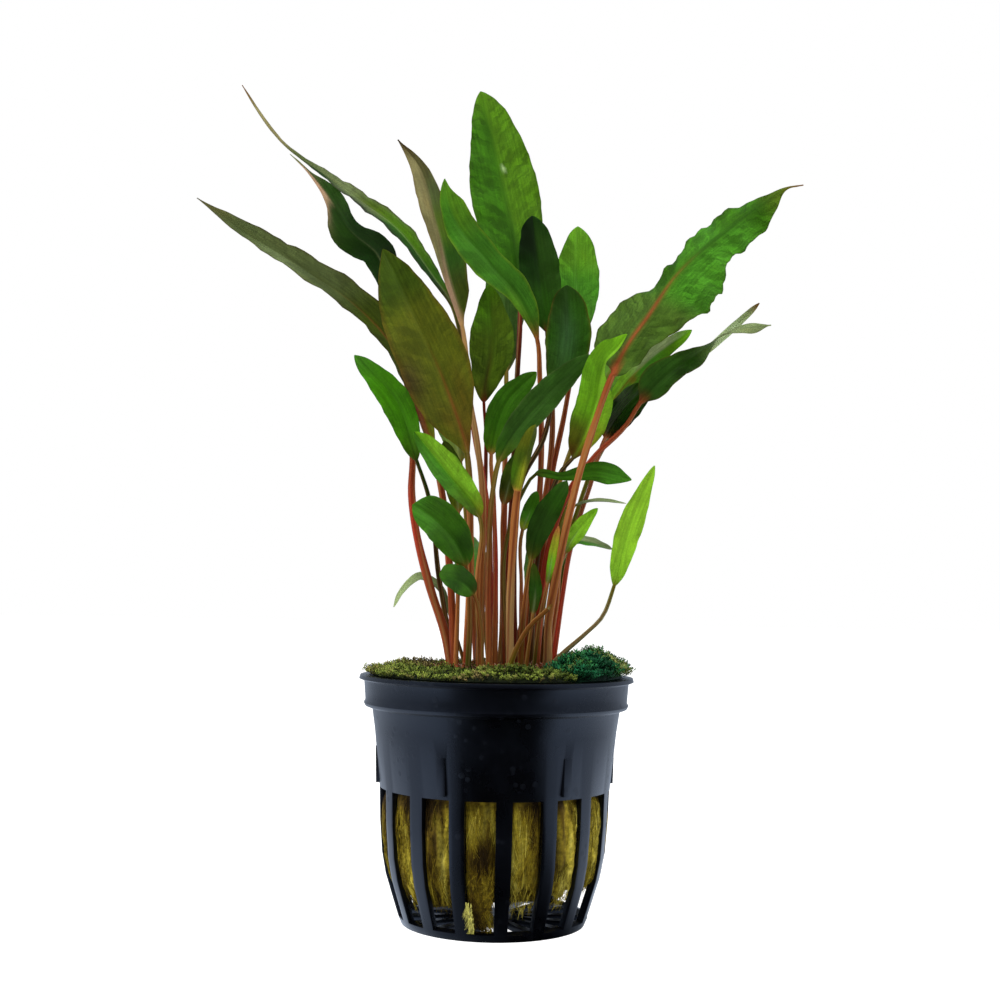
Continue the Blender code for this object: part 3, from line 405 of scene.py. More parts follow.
LOOKS = {
    "bronze_front_leaf": Look(
        "bronze_leaf", "red_brown orange_brown orange_brown bronze",
        "olive/brown olive/bronze olive olive olive olive_green olive_green",
        ("red_brown", 0.32, 0.6), ("brown", 0.1, 0.45),
        ((0.41, -0.85, 0.14, 0.42, "umber", 0.9), (0.3, 0.5, 0.1, 0.3, "brown", 0.3),
         (0.15, -0.3, 0.1, 0.4, "brown", 0.35)), wave=0.5, veins=0.45),
    "bright_lance_leaf": Look(
        "bright_leaf", "brown brown orange_brown bronze",
        "olive_green/yellow_green leaf_green/fresh mid/fresh mid/fresh green/bright",
        ("green", 0.25, 0.35), wave=0.2),
    "oval_leaf": Look(
        "green_leaf", "dark_olive brown brown", "olive_green/green green/deep green mid/green mid",
        ("mid", 0.2, 0.3), ("spring", 0.07, 0.3), veins=0.3),
    "small_dark_oval_leaf": Look(
        "dark_leaf", "brown", "green/dark_olive green/deep deep deep/green green",
        ("green", 0.2, 0.3), veins=0.3),
    "beige_stalk_leaf": Look(
        "bright_leaf", "beige beige orange_brown orange_brown",
        "olive_green/brown leaf_green/bronze olive_green/dark_olive olive/dark_olive "
        "olive/grey_olive", ("yellow_green", 0.7, 0.95), veins=0.2),
    "small_upright_leaf": Look("dark_leaf", "brown", "dark_olive deep dark_olive"),
    "yellow_strip_leaf": Look(
        "bright_leaf", "dark_olive brown orange_brown", "olive bright yellow_green orange_brown"),
    "long_left_leaf": Look(
        "olive_leaf", "red_brown",
        "bronze/yellow_green dark_brown/olive_green dark_olive dark_olive grey_olive "
        "grey_green/grey_olive grey_olive grey_brown", ("red_brown", 0.3, 0.5),
        ("dark_brown", 0.1, 0.6), ((0.1, -0.6, 0.1, 0.5, "red_brown", 0.7),), wave=0.45,
        veins=0.35),
    # The near-black spot at the left margin is painted shade between this leaf and the twisted dark
    # leaf
    "high_left_leaf": Look(
        "green_leaf", "red red red dark_red dark_olive",
        "dark_brown/dark_olive forest/green deep/leaf_green green/leaf_green "
        "grey_green/olive_green grey_green forest/grey_green grey_olive grey_beige grey_beige "
        "brown", ("pale_green", 0.25, 0.3), ("dark_brown", 0.1, 0.7),
        ((0.4, -0.9, 0.22, 0.4, "near_black", 0.85), (0.5, 0.9, 0.3, 0.2, "grey_green", 0.6)),
        wave=0.4),
    "twisted_dark_leaf": Look(
        "dark_leaf", "red_brown red_brown red red_brown dark_brown dark",
        "dark/near_black near_black dark/near_black dark forest/dark forest pink_beige/forest "
        "pink_beige/grey_olive grey_green", ("grey_green", 0.2, 0.5),
        spots=((0.68, -1.0, 0.1, 0.3, "pink_beige", 0.8),), wave=0.4, veins=0.2),
    # The right half's dark greens are partly its green upper side and partly painted shade
    "pointed_brown_leaf": Look(
        "pink_leaf", "orange_brown orange_brown beige beige",
        "pink_beige/dark_olive pink_beige/dark_olive grey_beige/deep grey_beige/olive_green "
        "grey_beige/grey_olive grey_beige/grey_brown umber/dark_brown", ("pink_beige", 0.45, 0.6),
        ("brown", 0.07, 0.4), veins=0.25),
    "lower_left_leaf": Look(
        "green_leaf", "brown dark_brown deep", "leaf_green lush lush mid", ("green", 0.25, 0.4),
        veins=0.3),
    "thin_drooping_leaf": Look("olive_leaf", "brown grey_green", "grey_green pale_green"),
    "small_olive_leaf": Look("olive_leaf", "orange_brown", "olive olive_green dark_olive"),
    # The tiny silver spot is a painted glint
    "tall_centre_leaf": Look(
        "green_leaf", "brown dark_red dark_brown dark_red",
        "deep green green/leaf_green green/leaf_green green/leaf_green leaf_green",
        ("deep", 0.8, 0.7), ("olive_green", 0.06, 0.4), ((0.62, 0.1, 0.006, 0.05, "silver", 0.9),),
        wave=0.45, veins=0.75),
    "leaning_leaf": Look(
        "green_leaf", "red_brown red_brown red_brown orange_brown",
        "olive/olive_green spring/mid mid mid mid/spring spring", ("green", 0.6, 0.5),
        ("yellow_green", 0.1, 0.35), veins=0.35),
    # The dark and near-black left half toward the tip is a painted shadow
    "dark_middle_leaf": Look(
        "dark_leaf", "red_brown red_brown dark_brown",
        "deep deep dark/forest near_black/forest near_black/dark", ("deep", 0.2, 0.2), veins=0.3),
    "olive_middle_leaf": Look(
        "olive_leaf", "dark_brown dark_red dark_red dark_red",
        "olive/dark_olive olive_green olive_green leaf_green/olive_green leaf_green",
        ("dark_brown", 0.5, 0.6), veins=0.7),
    "blue_green_diagonal_leaf": Look(
        "dark_leaf", "orange_brown red_brown brown bronze",
        "green/olive_green blue_green blue_green blue_green/forest blue_green/deep",
        ("forest", 0.3, 0.4), ("grey_green", 0.07, 0.35), veins=0.3),
    "green_diagonal_leaf": Look(
        "green_leaf", "orange_brown red orange_brown", "leaf_green green green green",
        ("deep", 0.25, 0.3), veins=0.3),
    "blue_green_broad_leaf": Look(
        "dark_leaf", "dark_red dark_brown dark_brown",
        "dark_olive blue_green/deep deep forest/deep forest", ("blue_green", 0.9, 0.4),
        ("brown", 0.07, 0.35), ((0.5, -0.05, 0.25, 0.4, "blue_sheen", 0.22),), veins=0.35),
    "rounded_green_leaf": Look(
        "green_leaf", "red_brown", "green mid mid spring spring", ("pale_green", 0.2, 0.25),
        veins=0.6),
    "small_shaded_leaf": Look(
        "dark_leaf", "red_brown orange_brown red_brown", "brown dark_olive olive_green deep"),
    "dark_oval_leaf": Look(
        "dark_leaf", "brown brown orange_brown bronze", "dark_olive forest forest deep blue_green",
        ("dark", 0.25, 0.4), veins=0.25),
    "small_forked_leaf": Look(
        "dark_leaf", "red_brown red_brown brown", "yellow_green mid green green"),
    # The sage of the base half is painted shade over the leaf's green
    "big_wavy_leaf": Look(
        "bright_leaf", "beige orange_brown orange_brown orange_brown red_brown",
        "sage sage sage sage green/mid green/mid mid green/mid green olive_green brown",
        ("red_brown", 0.42, 0.9), ("dark_brown", 0.05, 0.45),
        ((0.66, 0.0, 0.24, 0.14, "deep", 0.8),), wave=1.0, ruffle=0.16, veins=0.8),
    "bright_right_leaf": Look(
        "bright_leaf", "dark_brown dark_brown dark_brown umber",
        "brown olive/yellow_green bright/fresh bright/fresh bright/fresh bright",
        ("fresh", 0.3, 0.5), ("leaf_green", 0.07, 0.3), wave=0.3, veins=0.3),
    "low_right_leaf": Look(
        "dark_leaf", "red_brown red red red_brown",
        "umber/dark_brown blue_green blue_green blue_green/forest blue_green/deep sage grey_green "
        "pale_green pale_green pale_green", ("forest", 0.4, 0.6), ("brown", 0.07, 0.35),
        veins=0.3),
    "pale_tip_leaf": Look(
        "pale_leaf", "brown olive grey_green",
        "grey_green pale_green silver silver pale_green brown", ("grey_green", 0.2, 0.5)),
    "yellow_green_leaf": Look(
        "bright_leaf", "brown olive yellow_green",
        "fresh/bright fresh/mid pale_green/mid pale_green/leaf_green bright",
        ("red_brown", 0.25, 0.5), spots=((0.3, 0.3, 0.05, 0.3, "brown", 0.8),)),
    "glossy_dark_leaf": Look(
        "dark_leaf", "red red red_brown red_brown", "dark_brown near_black dark forest sage",
        ("near_black", 0.3, 0.5), finish="glossy"),
    "flat_right_leaf": Look(
        "green_leaf", "brown deep", "olive_green green green green mid mid", ("deep", 0.25, 0.5),
        veins=0.3),
    "arching_thin_leaf": Look("olive_leaf", "brown olive", "grey_green pale_green pale_green"),
    "small_light_leaf": Look("bright_leaf", "red_brown orange_brown", "olive fresh fresh bright"),
    "striped_edge_leaf": Look(
        "olive_leaf", "brown green", "pale_green/mid pale_green/mid grey_green"),
    "far_right_leaf": Look(
        "bright_leaf", "grey_green grey_beige grey_beige olive", "fresh lime lime lime",
        ("fresh", 0.3, 0.3), ("bright", 0.06, 0.3), veins=0.2),
    "back_left_leaf": Look("green_leaf", "red_brown brown olive", "olive leaf_green mid green"),
    "back_low_left_leaf": Look("green_leaf", "brown olive", "green mid leaf_green"),
    "back_low_right_leaf": Look("dark_leaf", "dark_brown olive", "deep green deep"),
    "back_right_leaf": Look(
        "bright_leaf", "red_brown orange_brown olive", "olive spring bright bright mid",
        ("red_brown", 0.3, 0.5)),
    "back_tall_leaf": Look(
        "dark_leaf", "red_brown red_brown bronze", "dark_olive green green green",
        ("deep", 0.3, 0.4)),
    "withered_stalk": Look("withered_stalk", "bronze brown brown", "brown", veins=0.0, wave=0.0),
}


def hermite(start, end, start_slope, end_slope, t):
    """Smooth value between two values, with the slopes there."""
    return ((2 * t**3 - 3 * t**2 + 1) * start + (t**3 - 2 * t**2 + t) * start_slope
            + (3 * t**2 - 2 * t**3) * end + (t**3 - t**2) * end_slope)


def at_share(values, share):
    """Smooth value at a share of the way along evenly spaced values."""
    place = share * (len(values) - 1)
    span = min(int(place), len(values) - 2)
    slopes = np.gradient(np.array(values, float))
    return hermite(values[span], values[span + 1], slopes[span], slopes[span + 1], place - span)


def closer_at_ends(share):
    """Share of a length at a share of its rings, which stand closer at both ends."""
    return 0.5 - 0.5 * np.cos(math.pi * share)


def half_width(stops, share):
    """Half width at a share of the blade's rings, narrowed to a point at both ends."""
    along = closer_at_ends(share)
    base = min(1.0, along / BASE_REACH)
    tip = min(1.0, (1.0 - along) / TIP_REACH)
    wide = stops[0] + (at_share(stops, share) - stops[0]) * (base * (2.0 - base)) ** BASE_SHARPNESS
    return max(wide * (tip * (2.0 - tip)) ** TIP_SHARPNESS, TIP_RADIUS)


def chord_lengths(path):
    """Length along a path's chords at each of its points."""
    steps = np.linalg.norm(np.diff(np.array(path, float), axis=0), axis=1)
    return np.concatenate([[0.0], np.cumsum(steps)])


def smooth_path(path, places):
    """Points and unit tangents of a smooth curve through a path, at lengths along its chords."""
    knots = np.array(path, float)
    chord = chord_lengths(path)
    slopes = np.gradient(knots, chord, axis=0)
    nudge = 0.01

    def point(place):
        span = min(max(int(np.searchsorted(chord, place)) - 1, 0), len(knots) - 2)
        size = chord[span + 1] - chord[span]
        return hermite(knots[span], knots[span + 1], slopes[span] * size,
                       slopes[span + 1] * size, (place - chord[span]) / size)

    points = [point(place) for place in places]
    tangents = []
    for place in places:
        step = point(min(place + nudge, chord[-1])) - point(max(place - nudge, 0.0))
        tangents.append(step / np.linalg.norm(step))
    return points, tangents


def blade_frame(tangent, face):
    """Unit vectors across a blade and out of its upper side."""
    azimuth, roll = (math.radians(angle) for angle in face)
    level = np.array([math.sin(azimuth), -math.cos(azimuth), 0.0])
    across = np.cross(tangent, level)
    across /= np.linalg.norm(across)
    normal = np.cross(across, tangent)
    turned = normal * math.cos(roll) + across * math.sin(roll)
    return np.cross(tangent, turned), turned


def smooth_step(low, high, value):
    """0 on the low side, 1 on the high side, smooth between."""
    t = np.clip((value - low) / (high - low), 0.0, 1.0)
    return t * t * (3.0 - 2.0 * t)


def along_rows(place, rows):
    """Value at a place between rows of a place and a value."""
    return np.interp(place, *zip(*rows))


def blend(first, second, mask):
    """Mix of two colour fields by a mask."""
    return first + (second - first) * np.asarray(mask)[..., None]


def along_stops(stops, share):
    """Colours at shares of the way along a row of colour names."""
    values = np.array([COLOURS[name] for name in stops])
    place = np.clip(share, 0.0, 1.0) * (len(values) - 1)
    span = np.minimum(place.astype(int), max(len(values) - 2, 0))
    after = np.minimum(span + 1, len(values) - 1)
    return blend(values[span], values[after], smooth_step(0.0, 1.0, place - span))


def blade_colours(look, along, across, width, under):
    """Colours of a blade at its places, as the leaf's look says."""
    halves = [along_stops([stop.split("/")[side] for stop in look.blade.split()], along)
              for side in (0, -1)]
    colour = blend(*halves, smooth_step(-HALVES_BLEND, HALVES_BLEND, across))
    for at, side, length, breadth, name, strength in look.spots:
        reach = ((along - at) / length) ** 2 + ((across - side) / breadth) ** 2
        colour = blend(colour, COLOURS[name], strength * np.exp(-reach))
    name, share, strength = look.edge
    rim = smooth_step(1.0 - share * 1.5, 1.0, np.abs(across))
    colour = blend(colour, COLOURS[name], strength * rim)
    name, half, strength = look.rib
    taper = half * (1.15 - 0.75 * along)
    line = np.exp(-(across * width / taper) ** 2) * smooth_step(*RIB_FADES, along)
    colour = blend(colour, COLOURS[name], strength * line)
    pale = np.array(COLOURS["grey_green"]) * UNDER_SHADE
    return blend(colour, pale, UNDER_PALE * under)


def stalk_colours(look, places, blade_start, turn, phases):
    """Colours of a stalk, with pale and dark streaks that run along it: its own streaky colour, the
    pale streaks partly painted highlight and the dark ones partly painted shade.
    """
    colours = along_stops(look.stalk.split(), places / blade_start)[:, None, :]
    streaks = sum(np.sin(times * turn + phase + places[:, None] / length)
                  for (times, length), phase in zip(STREAKS, phases)) / len(STREAKS)
    # Pale streaks are partly painted highlight, dark streaks partly painted shade
    colours = blend(colours, COLOURS["beige"], PALE_STREAK_AND_HIGHLIGHT * smooth_step(0.15, 0.9, streaks))
    return blend(colours, COLOURS["dark_red"], DARK_STREAK_AND_SHADE * smooth_step(-0.1, -0.9, streaks))


def leaf_rings(leaf):
    """Where the blade starts, and each ring's length along the chords and share of the blade."""
    chord = chord_lengths(leaf.path)
    start = chord[leaf.blade]
    stalk_steps = max(int(start / STALK_STEP), 2)
    count = leaf.rings * FINE_RINGS
    blade_shares = np.arange(count + 1) / count
    on_stalk = np.linspace(0.0, start, stalk_steps, endpoint=False)
    on_blade = start + closer_at_ends(blade_shares) * (chord[-1] - start)
    shares = np.concatenate([np.zeros(stalk_steps + 1), blade_shares])
    return start, np.concatenate([[-STALK_SUNK], on_stalk, on_blade]), shares


def leaf_frames(face, tangents, shares):
    """Unit vectors across a leaf and out of its upper side, ring by ring."""
    azimuths, rolls = zip(*face)
    stations = np.linspace(0.0, 1.0, len(face))
    frames = np.array([blade_frame(tangent, (np.interp(share, stations, azimuths),
                                             np.interp(share, stations, rolls)))
                       for tangent, share in zip(tangents, shares)])
    return frames[:, 0], frames[:, 1]


def leaf_sizes(leaf, places, blade_start, shares, phase):
    """Radius of each ring's round form, and its half widths on the left and on the right."""
    on_stalk = shares == 0.0
    radius = np.interp(places, (0.0, blade_start), leaf.stalk)
    radius = radius * (1.0 + STALK_KNOBS * np.sin(places / KNOB_LENGTH + phase) * on_stalk)
    halves = []
    for stops in (leaf.left, leaf.right or leaf.left):
        stops = (leaf.stalk[1], *stops, TIP_RADIUS)
        wide = np.array([half_width(stops, share) for share in shares])
        halves.append(np.where(on_stalk, radius, wide)[:, None])
    return radius[:, None], halves


def section_corners():
    """Corners of a ring: share of the half width, whether it is on the upper side, and turn."""
    top = [*SECTION[::-1]] + [-x for x in SECTION[1:]]
    low = [-x for x in SECTION[-2::-1]] + [*SECTION[1:-1]]
    corners = np.arange(len(top) + len(low))[None, :]
    return np.array(top + low)[None, :], corners < len(top), math.pi * corners / (len(top) - 1)


def ripples(rows, length, run, x, phases):
    """Waves along both margins, with a phase of its own for each half."""
    return sum(strength * np.sin(2.0 * math.pi * run / (share * length)
                                 + np.where(x > 0, phases[right], phases[left]))
               for strength, share, right, left in rows)


def leaf_mesh(leaf, look, seed):
    """Points, faces, colours and flat coordinates of one leaf."""
    draw = np.random.default_rng(seed)
    wave_length = draw.uniform(*WAVE_LENGTHS)
    phases = draw.uniform(0.0, 2.0 * math.pi, 6)
    blade_start, places, shares = leaf_rings(leaf)
    points, tangents = smooth_path(leaf.path, places[1:])
    points = np.array([points[0] - tangents[0] * STALK_SUNK] + points)
    across, normal = leaf_frames(leaf.face, [tangents[0]] + tangents, shares)
    radius, halves = leaf_sizes(leaf, places, blade_start, shares, phases[4])
    x, upper, turn = section_corners()

    # How far the section has left the round stalk, for the fold and for the blade's form
    flat = np.minimum(1.0, shares / FLAT_FROM)[:, None]
    form = smooth_step(0.0, 0.7, flat)
    along = closer_at_ends(shares)[:, None]
    run = (places - blade_start)[:, None]
    width = np.where(x > 0, halves[1], halves[0])
    ruffle = look.ruffle * form * np.minimum(1.0, width / CALM_WIDTH)
    ruffle = ruffle * ripples(RUFFLES, 1.0, run, x, phases)
    width = width + ruffle * (along < RUFFLE_END)
    lateral = (np.cos(turn) * (1.0 - form) + x * form) * width
    swell = np.sin(math.pi * np.minimum(1.0, along * 1.05)) ** 0.6
    wave = look.wave * swell * np.minimum(1.0, width / CALM_WIDTH)
    wave = wave * ripples(WAVES, wave_length, run, x, phases)
    rib = np.exp(-(x * width / RIB_HALF_WIDTH) ** 2)
    dome = 1.0 - DOME * x * x
    thin = np.minimum(1.0, np.minimum(*halves) / THIN_WIDTH)
    lift = np.where(upper, BLADE_TOP * dome - RIB_GROOVE * rib,
                    -(BLADE_UNDER * dome + RIB_UNDER * rib * (1.0 - along)))
    fold = np.radians(leaf.fold) * flat
    rise = (STALK_THICKNESS * radius * np.sin(turn) * (1.0 - form)
            + thin * lift * form + np.abs(lateral) * np.sin(fold)
            + np.abs(x) ** WAVE_POWER * wave * form)
    verts = (points[:, None] + across[:, None] * (lateral * np.cos(fold))[..., None]
             + normal[:, None] * rise[..., None])

    # The blade's colours begin where the section is flat, or is much wider than the stalk
    shape = lateral.shape
    beside = smooth_step(1.2, 2.4, np.abs(lateral) / np.maximum(radius, 0.3))
    colours = blend(stalk_colours(look, places, blade_start, turn, phases[1:]),
                    blade_colours(look, along, x, width, ~upper * 1.0),
                    np.maximum(smooth_step(0.0, 0.9, flat), beside))
    veins = np.broadcast_to(look.veins * form, shape)[..., None]
    drawn_out = places - (1.0 - STALK_STREAK) * np.minimum(places, blade_start)
    flats = np.stack([x * width * form + np.cos(turn) * radius * STALK_SPREAD * (1.0 - form),
                      np.broadcast_to(drawn_out[:, None], shape)], axis=-1)
    return (verts.reshape(-1, 3), ring_faces(*shape),
            np.concatenate([colours, veins], axis=-1).reshape(-1, 4), flats.reshape(-1, 2))


def ring_faces(levels, count):
    """Faces of a closed solid through rings of equal length."""
    faces = []
    for level in range(levels - 1):
        base = level * count
        for corner in range(count):
            after = (corner + 1) % count
            faces.append((base + corner, base + after, base + count + after, base + count + corner))
    faces.append(tuple(reversed(range(count))))
    faces.append(tuple((levels - 1) * count + corner for corner in range(count)))
    return faces


def place_object(name, data):
    """New object in the scene for a mesh, a camera or a light."""
    obj = bpy.data.objects.new(name, data)
    bpy.context.scene.collection.objects.link(obj)
    return obj


def new_object(name, verts, faces, mat, colours=None, flats=None, smooth=60.0):
    """Object from points in millimetres, with its colours and flat coordinates by point."""
    mesh = bpy.data.meshes.new(name)
    mesh.from_pydata((np.asarray(verts) * MM).tolist(), [], faces)
    if colours is not None:
        layer = mesh.color_attributes.new("tint", "FLOAT_COLOR", "POINT")
        layer.data.foreach_set("color", np.asarray(colours, np.float32).ravel())
    if flats is not None:
        loops = np.zeros(len(mesh.loops), np.int32)
        mesh.loops.foreach_get("vertex_index", loops)
        layer = mesh.uv_layers.new(name="blade")
        layer.uv.foreach_set("vector", np.asarray(flats, np.float32)[loops].ravel())
    mesh.materials.append(mat)
    solid = bmesh.new()
    solid.from_mesh(mesh)
    bmesh.ops.recalc_face_normals(solid, faces=solid.faces)
    solid.to_mesh(mesh)
    solid.free()
    mesh.shade_smooth()
    if smooth < 180.0:
        mesh.set_sharp_from_angle(angle=math.radians(smooth))
    return place_object(name, mesh)


class Nodes:
    """Short way to build the nodes of a material or a world."""

    def __init__(self, owner, output="OutputMaterial"):
        owner.use_nodes = True
        self.owner = owner
        self.tree = owner.node_tree
        self.tree.nodes.clear()
        self.output = self.add(output)

    def add(self, kind, inputs=(), **settings):
        node = self.tree.nodes.new("ShaderNode" + kind)
        for key, value in settings.items():
            setattr(node, key, value)
        for key, value in dict(inputs).items():
            self.put(node.inputs[key], value)
        return node

    def first(self, kind, inputs=(), **settings):
        """Add a node and give its first output."""
        return self.add(kind, inputs, **settings).outputs[0]

    def put(self, socket, value):
        """Link an output to a socket, or set the socket's own value."""
        if isinstance(value, bpy.types.NodeSocket):
            self.tree.links.new(value, socket)
        else:
            socket.default_value = value

    def finish(self, surface):
        """Use a shader as the surface, and give the material or the world."""
        self.put(self.output.inputs["Surface"], surface)
        return self.owner

    def math(self, operation, *values):
        return self.first("Math", dict(enumerate(values)), operation=operation)

    def plus(self, *values):
        return self.math("ADD", *values)

    def times(self, *values):
        return self.math("MULTIPLY", *values)

    def remap(self, value, low, high, to_low=0.0, to_high=1.0):
        """Smooth change from one value to another as an input goes from low to high."""
        return self.first("MapRange", {"Value": value, "From Min": low, "From Max": high,
                                       "To Min": to_low, "To Max": to_high},
                          interpolation_type="SMOOTHSTEP")

    def mix(self, factor, first, second, blend_type="MIX"):
        node = self.add("Mix", data_type="RGBA", blend_type=blend_type)
        for place, value in ((0, factor), (6, first), (7, second)):
            self.put(node.inputs[place], value)
        return node.outputs[2]

    def tinted(self, colour, tint):
        """Product of two colours."""
        return self.mix(1.0, colour, tint, "MULTIPLY")

    def grey(self, value):
        return self.first("CombineXYZ", {"X": value, "Y": value, "Z": value})

    def noise(self, vector, scale, detail=3.0, roughness=0.55):
        return self.add("TexNoise", {"Vector": vector, "Scale": scale, "Detail": detail,
                                     "Roughness": roughness}).outputs["Fac"]

    def scaled(self, vector, x, y, z):
        return self.first("VectorMath", {0: vector, 1: (x, y, z)}, operation="MULTIPLY")


# Side veins in millimetres: how far apart, how much they slant and how far they stray
VEIN_PITCH = 2.4
VEIN_SLANT = 0.8
VEIN_STRAY = 4.5
# Leaf tints: leaf pigment over the painted colours, patches, light through a blade and its shine
PIGMENT = (1.0, 1.0, 0.55, 1.0)
WARM_PATCH = (1.4, 1.08, 0.75, 1.0)
LIGHT_THROUGH = (1.35, 1.45, 0.8, 1.0)
LEAF_SHINE = (0.95, 1.0, 0.5, 1.0)


def leaf_material(name, roughness, gloss, mottle, clear):
    """Leaf tissue: colour by place, long veins, cross bands, fine grain and light through it.

    The tint's fourth channel says how strongly the cross bands and side veins show.
    """
    n = Nodes(bpy.data.materials.new(name))
    painted = n.add("Attribute", attribute_name="tint")
    tint, veins = painted.outputs["Color"], painted.outputs["Alpha"]
    flat = n.add("UVMap", uv_map="blade").outputs["UV"]
    parts = n.add("SeparateXYZ", {"Vector": flat})

    def cloud(across, along, detail=3.0, rough=0.55):
        return n.noise(n.scaled(flat, across, along, 1.0), 1.0, detail, rough)

    side = n.math("ABSOLUTE", parts.outputs["X"])
    line = n.math("SUBTRACT", parts.outputs["Y"], n.times(side, VEIN_SLANT))
    line = n.plus(line, n.times(cloud(0.45, 0.5), VEIN_STRAY))
    phase = n.math("FRACT", n.math("DIVIDE", line, VEIN_PITCH))
    ridge = n.math("ABSOLUTE", n.math("SUBTRACT", phase, 0.5))
    away = n.times(n.remap(side, 0.2, 1.2), veins)
    vein = n.times(n.remap(ridge, 0.14, 0.0), away)

    # Soft bands across the blade, and long fine veins that run with it
    slanted = n.first("CombineXYZ", {"X": n.times(parts.outputs["X"], 0.22),
                                     "Y": n.times(line, 0.62)})
    band = n.noise(slanted, 1.0, 3.0, 0.6)
    streak = cloud(2.4, 0.09, 4.0, 0.6)
    grain = cloud(4.5, 2.6, 3.0, 0.6)
    fine = 1.1 * mottle
    shade = n.remap(cloud(0.30, 0.11), 0.3, 0.7, 1.0 - mottle, 1.0 + mottle)
    shade = n.times(shade, n.remap(streak, 0.3, 0.7, 1.0 - fine, 1.0 + fine))
    shade = n.times(shade, n.remap(grain, 0.25, 0.75, 0.86, 1.14))
    shade = n.times(shade, n.math("SUBTRACT", 1.0, n.times(vein, 0.24)))
    banding = n.times(n.remap(band, 0.32, 0.68, -0.42, 0.36), away)
    shade = n.times(shade, n.plus(1.0, banding))
    colour = n.tinted(n.tinted(tint, PIGMENT), n.grey(shade))
    warm = n.remap(cloud(0.6, 0.2), 0.48, 0.78, 0.0, 0.3)
    colour = n.mix(warm, colour, n.tinted(colour, WARM_PATCH))

    height = n.plus(n.times(band, n.times(veins, 1.6)), n.times(grain, 0.25))
    height = n.plus(height, n.times(streak, 0.8))
    bump = n.first("Bump", {"Strength": 0.55, "Distance": 0.00014, "Height": height})
    rough = n.remap(streak, 0.3, 0.7, roughness - 0.06, roughness + 0.08)
    shader = n.first("BsdfPrincipled", {"Base Color": colour, "Roughness": rough, "Normal": bump,
                                        "Specular IOR Level": gloss,
                                        "Specular Tint": LEAF_SHINE})
    glow = n.first("BsdfTranslucent", {"Color": n.tinted(colour, LIGHT_THROUGH), "Normal": bump})
    return n.finish(n.first("MixShader", {0: clear, 1: shader, 2: glow}))


def make_leaves():
    """Every leaf, with its own look."""
    finishes = {"satin": leaf_material("satin_leaf", 0.42, 0.22, 0.16, 0.3),
                "glossy": leaf_material("glossy_leaf", 0.26, 0.5, 0.3, 0.15)}
    for seed, leaf in enumerate(LEAVES):
        look = LOOKS[leaf.name]
        verts, faces, colours, flats = leaf_mesh(leaf, look, seed)
        piece = new_object("grown_" + leaf.name, verts, faces, finishes[look.finish], colours,
                           flats)
        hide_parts(leaf.name)
        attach(piece, "root")


def tuft_material(name, roughness):
    """Moss or fibre: colour by place with a fine grain."""
    n = Nodes(bpy.data.materials.new(name))
    tint = n.add("Attribute", attribute_name="tint").outputs["Color"]
    place = n.add("TexCoord").outputs["Object"]
    grain = n.remap(n.noise(place, 1400.0, 3.0), 0.3, 0.7, 0.7, 1.3)
    return n.finish(n.first("BsdfPrincipled", {"Base Color": n.tinted(tint, n.grey(grain)),
                                               "Roughness": roughness,
                                               "Specular IOR Level": 0.12}))


def polar(radius, degrees, height):
    """Points at angles counted from the front towards +X."""
    angle = np.radians(degrees)
    return np.stack(np.broadcast_arrays(radius * np.sin(angle), -radius * np.cos(angle), height),
                    axis=-1)


# The wall from the lip to the floor's disc: outer radius and height, inner radius and height
POT_WALL = [
    (LIP_RADIUS, POT_HEIGHT - 0.7, LIP_RADIUS - 0.2, POT_HEIGHT),
    (26.2, 46.9, 25.2, POT_HEIGHT),
    (25.9, 43.2, 24.7, 44.2),
    (26.2, 42.6, 24.3, 43.0),
    (25.9, 42.0, 23.9, 42.2),
    (24.5, 41.5, 23.2, 41.2),
    (23.9, 37.5, 22.7, 37.5),
    (22.7, 26.3, 21.5, 26.3),
    (22.5, 20.0, 21.3, 20.0),
    (22.0, 13.7, 20.8, 13.7),
    (21.2, 9.5, 20.0, 9.8),
    (19.9, 5.4, 18.8, 6.2),
    (BASE_RADIUS + 0.6, 1.4, 17.4, 1.9),
    (BASE_RADIUS, 0.0, 16.6, FLOOR_THICKNESS),
    (DISC_RADIUS, 0.0, DISC_RADIUS, FLOOR_THICKNESS),
]
# Row of the wall where the slots begin, and row of the foot ring, which crosses them
SLOT_ROW = 7
BASE_RING_ROW = 12
# Columns of cells across a rib and across a slot
RIB_COLUMNS = 4
SLOT_COLUMNS = 6
# Fins: how deep they reach into the wall, then the height and how proud they are at each end
FIN_ROOT = 0.5
FIN_ENDS = ((34.0, 0.15), (27.0, 0.7))
FIN_FACES = ((0, 1, 3, 2), (4, 6, 7, 5), (0, 4, 5, 1), (2, 3, 7, 6), (0, 2, 6, 4), (1, 5, 7, 3))
# Rounded edges: their radius, and the least angle in degrees that is rounded
EDGE_RADIUS = 0.22
EDGE_ANGLE = 38.0
# Angles in degrees from which the shading shows an edge
WALL_CREASE = 35.0
POT_CREASE = 40.0


def wall_radius(height, side):
    """Radius of the outer or inner wall at a height."""
    first = 0 if side == "outer" else 2
    return along_rows(height, sorted((row[first + 1], row[first]) for row in POT_WALL[1:-1]))


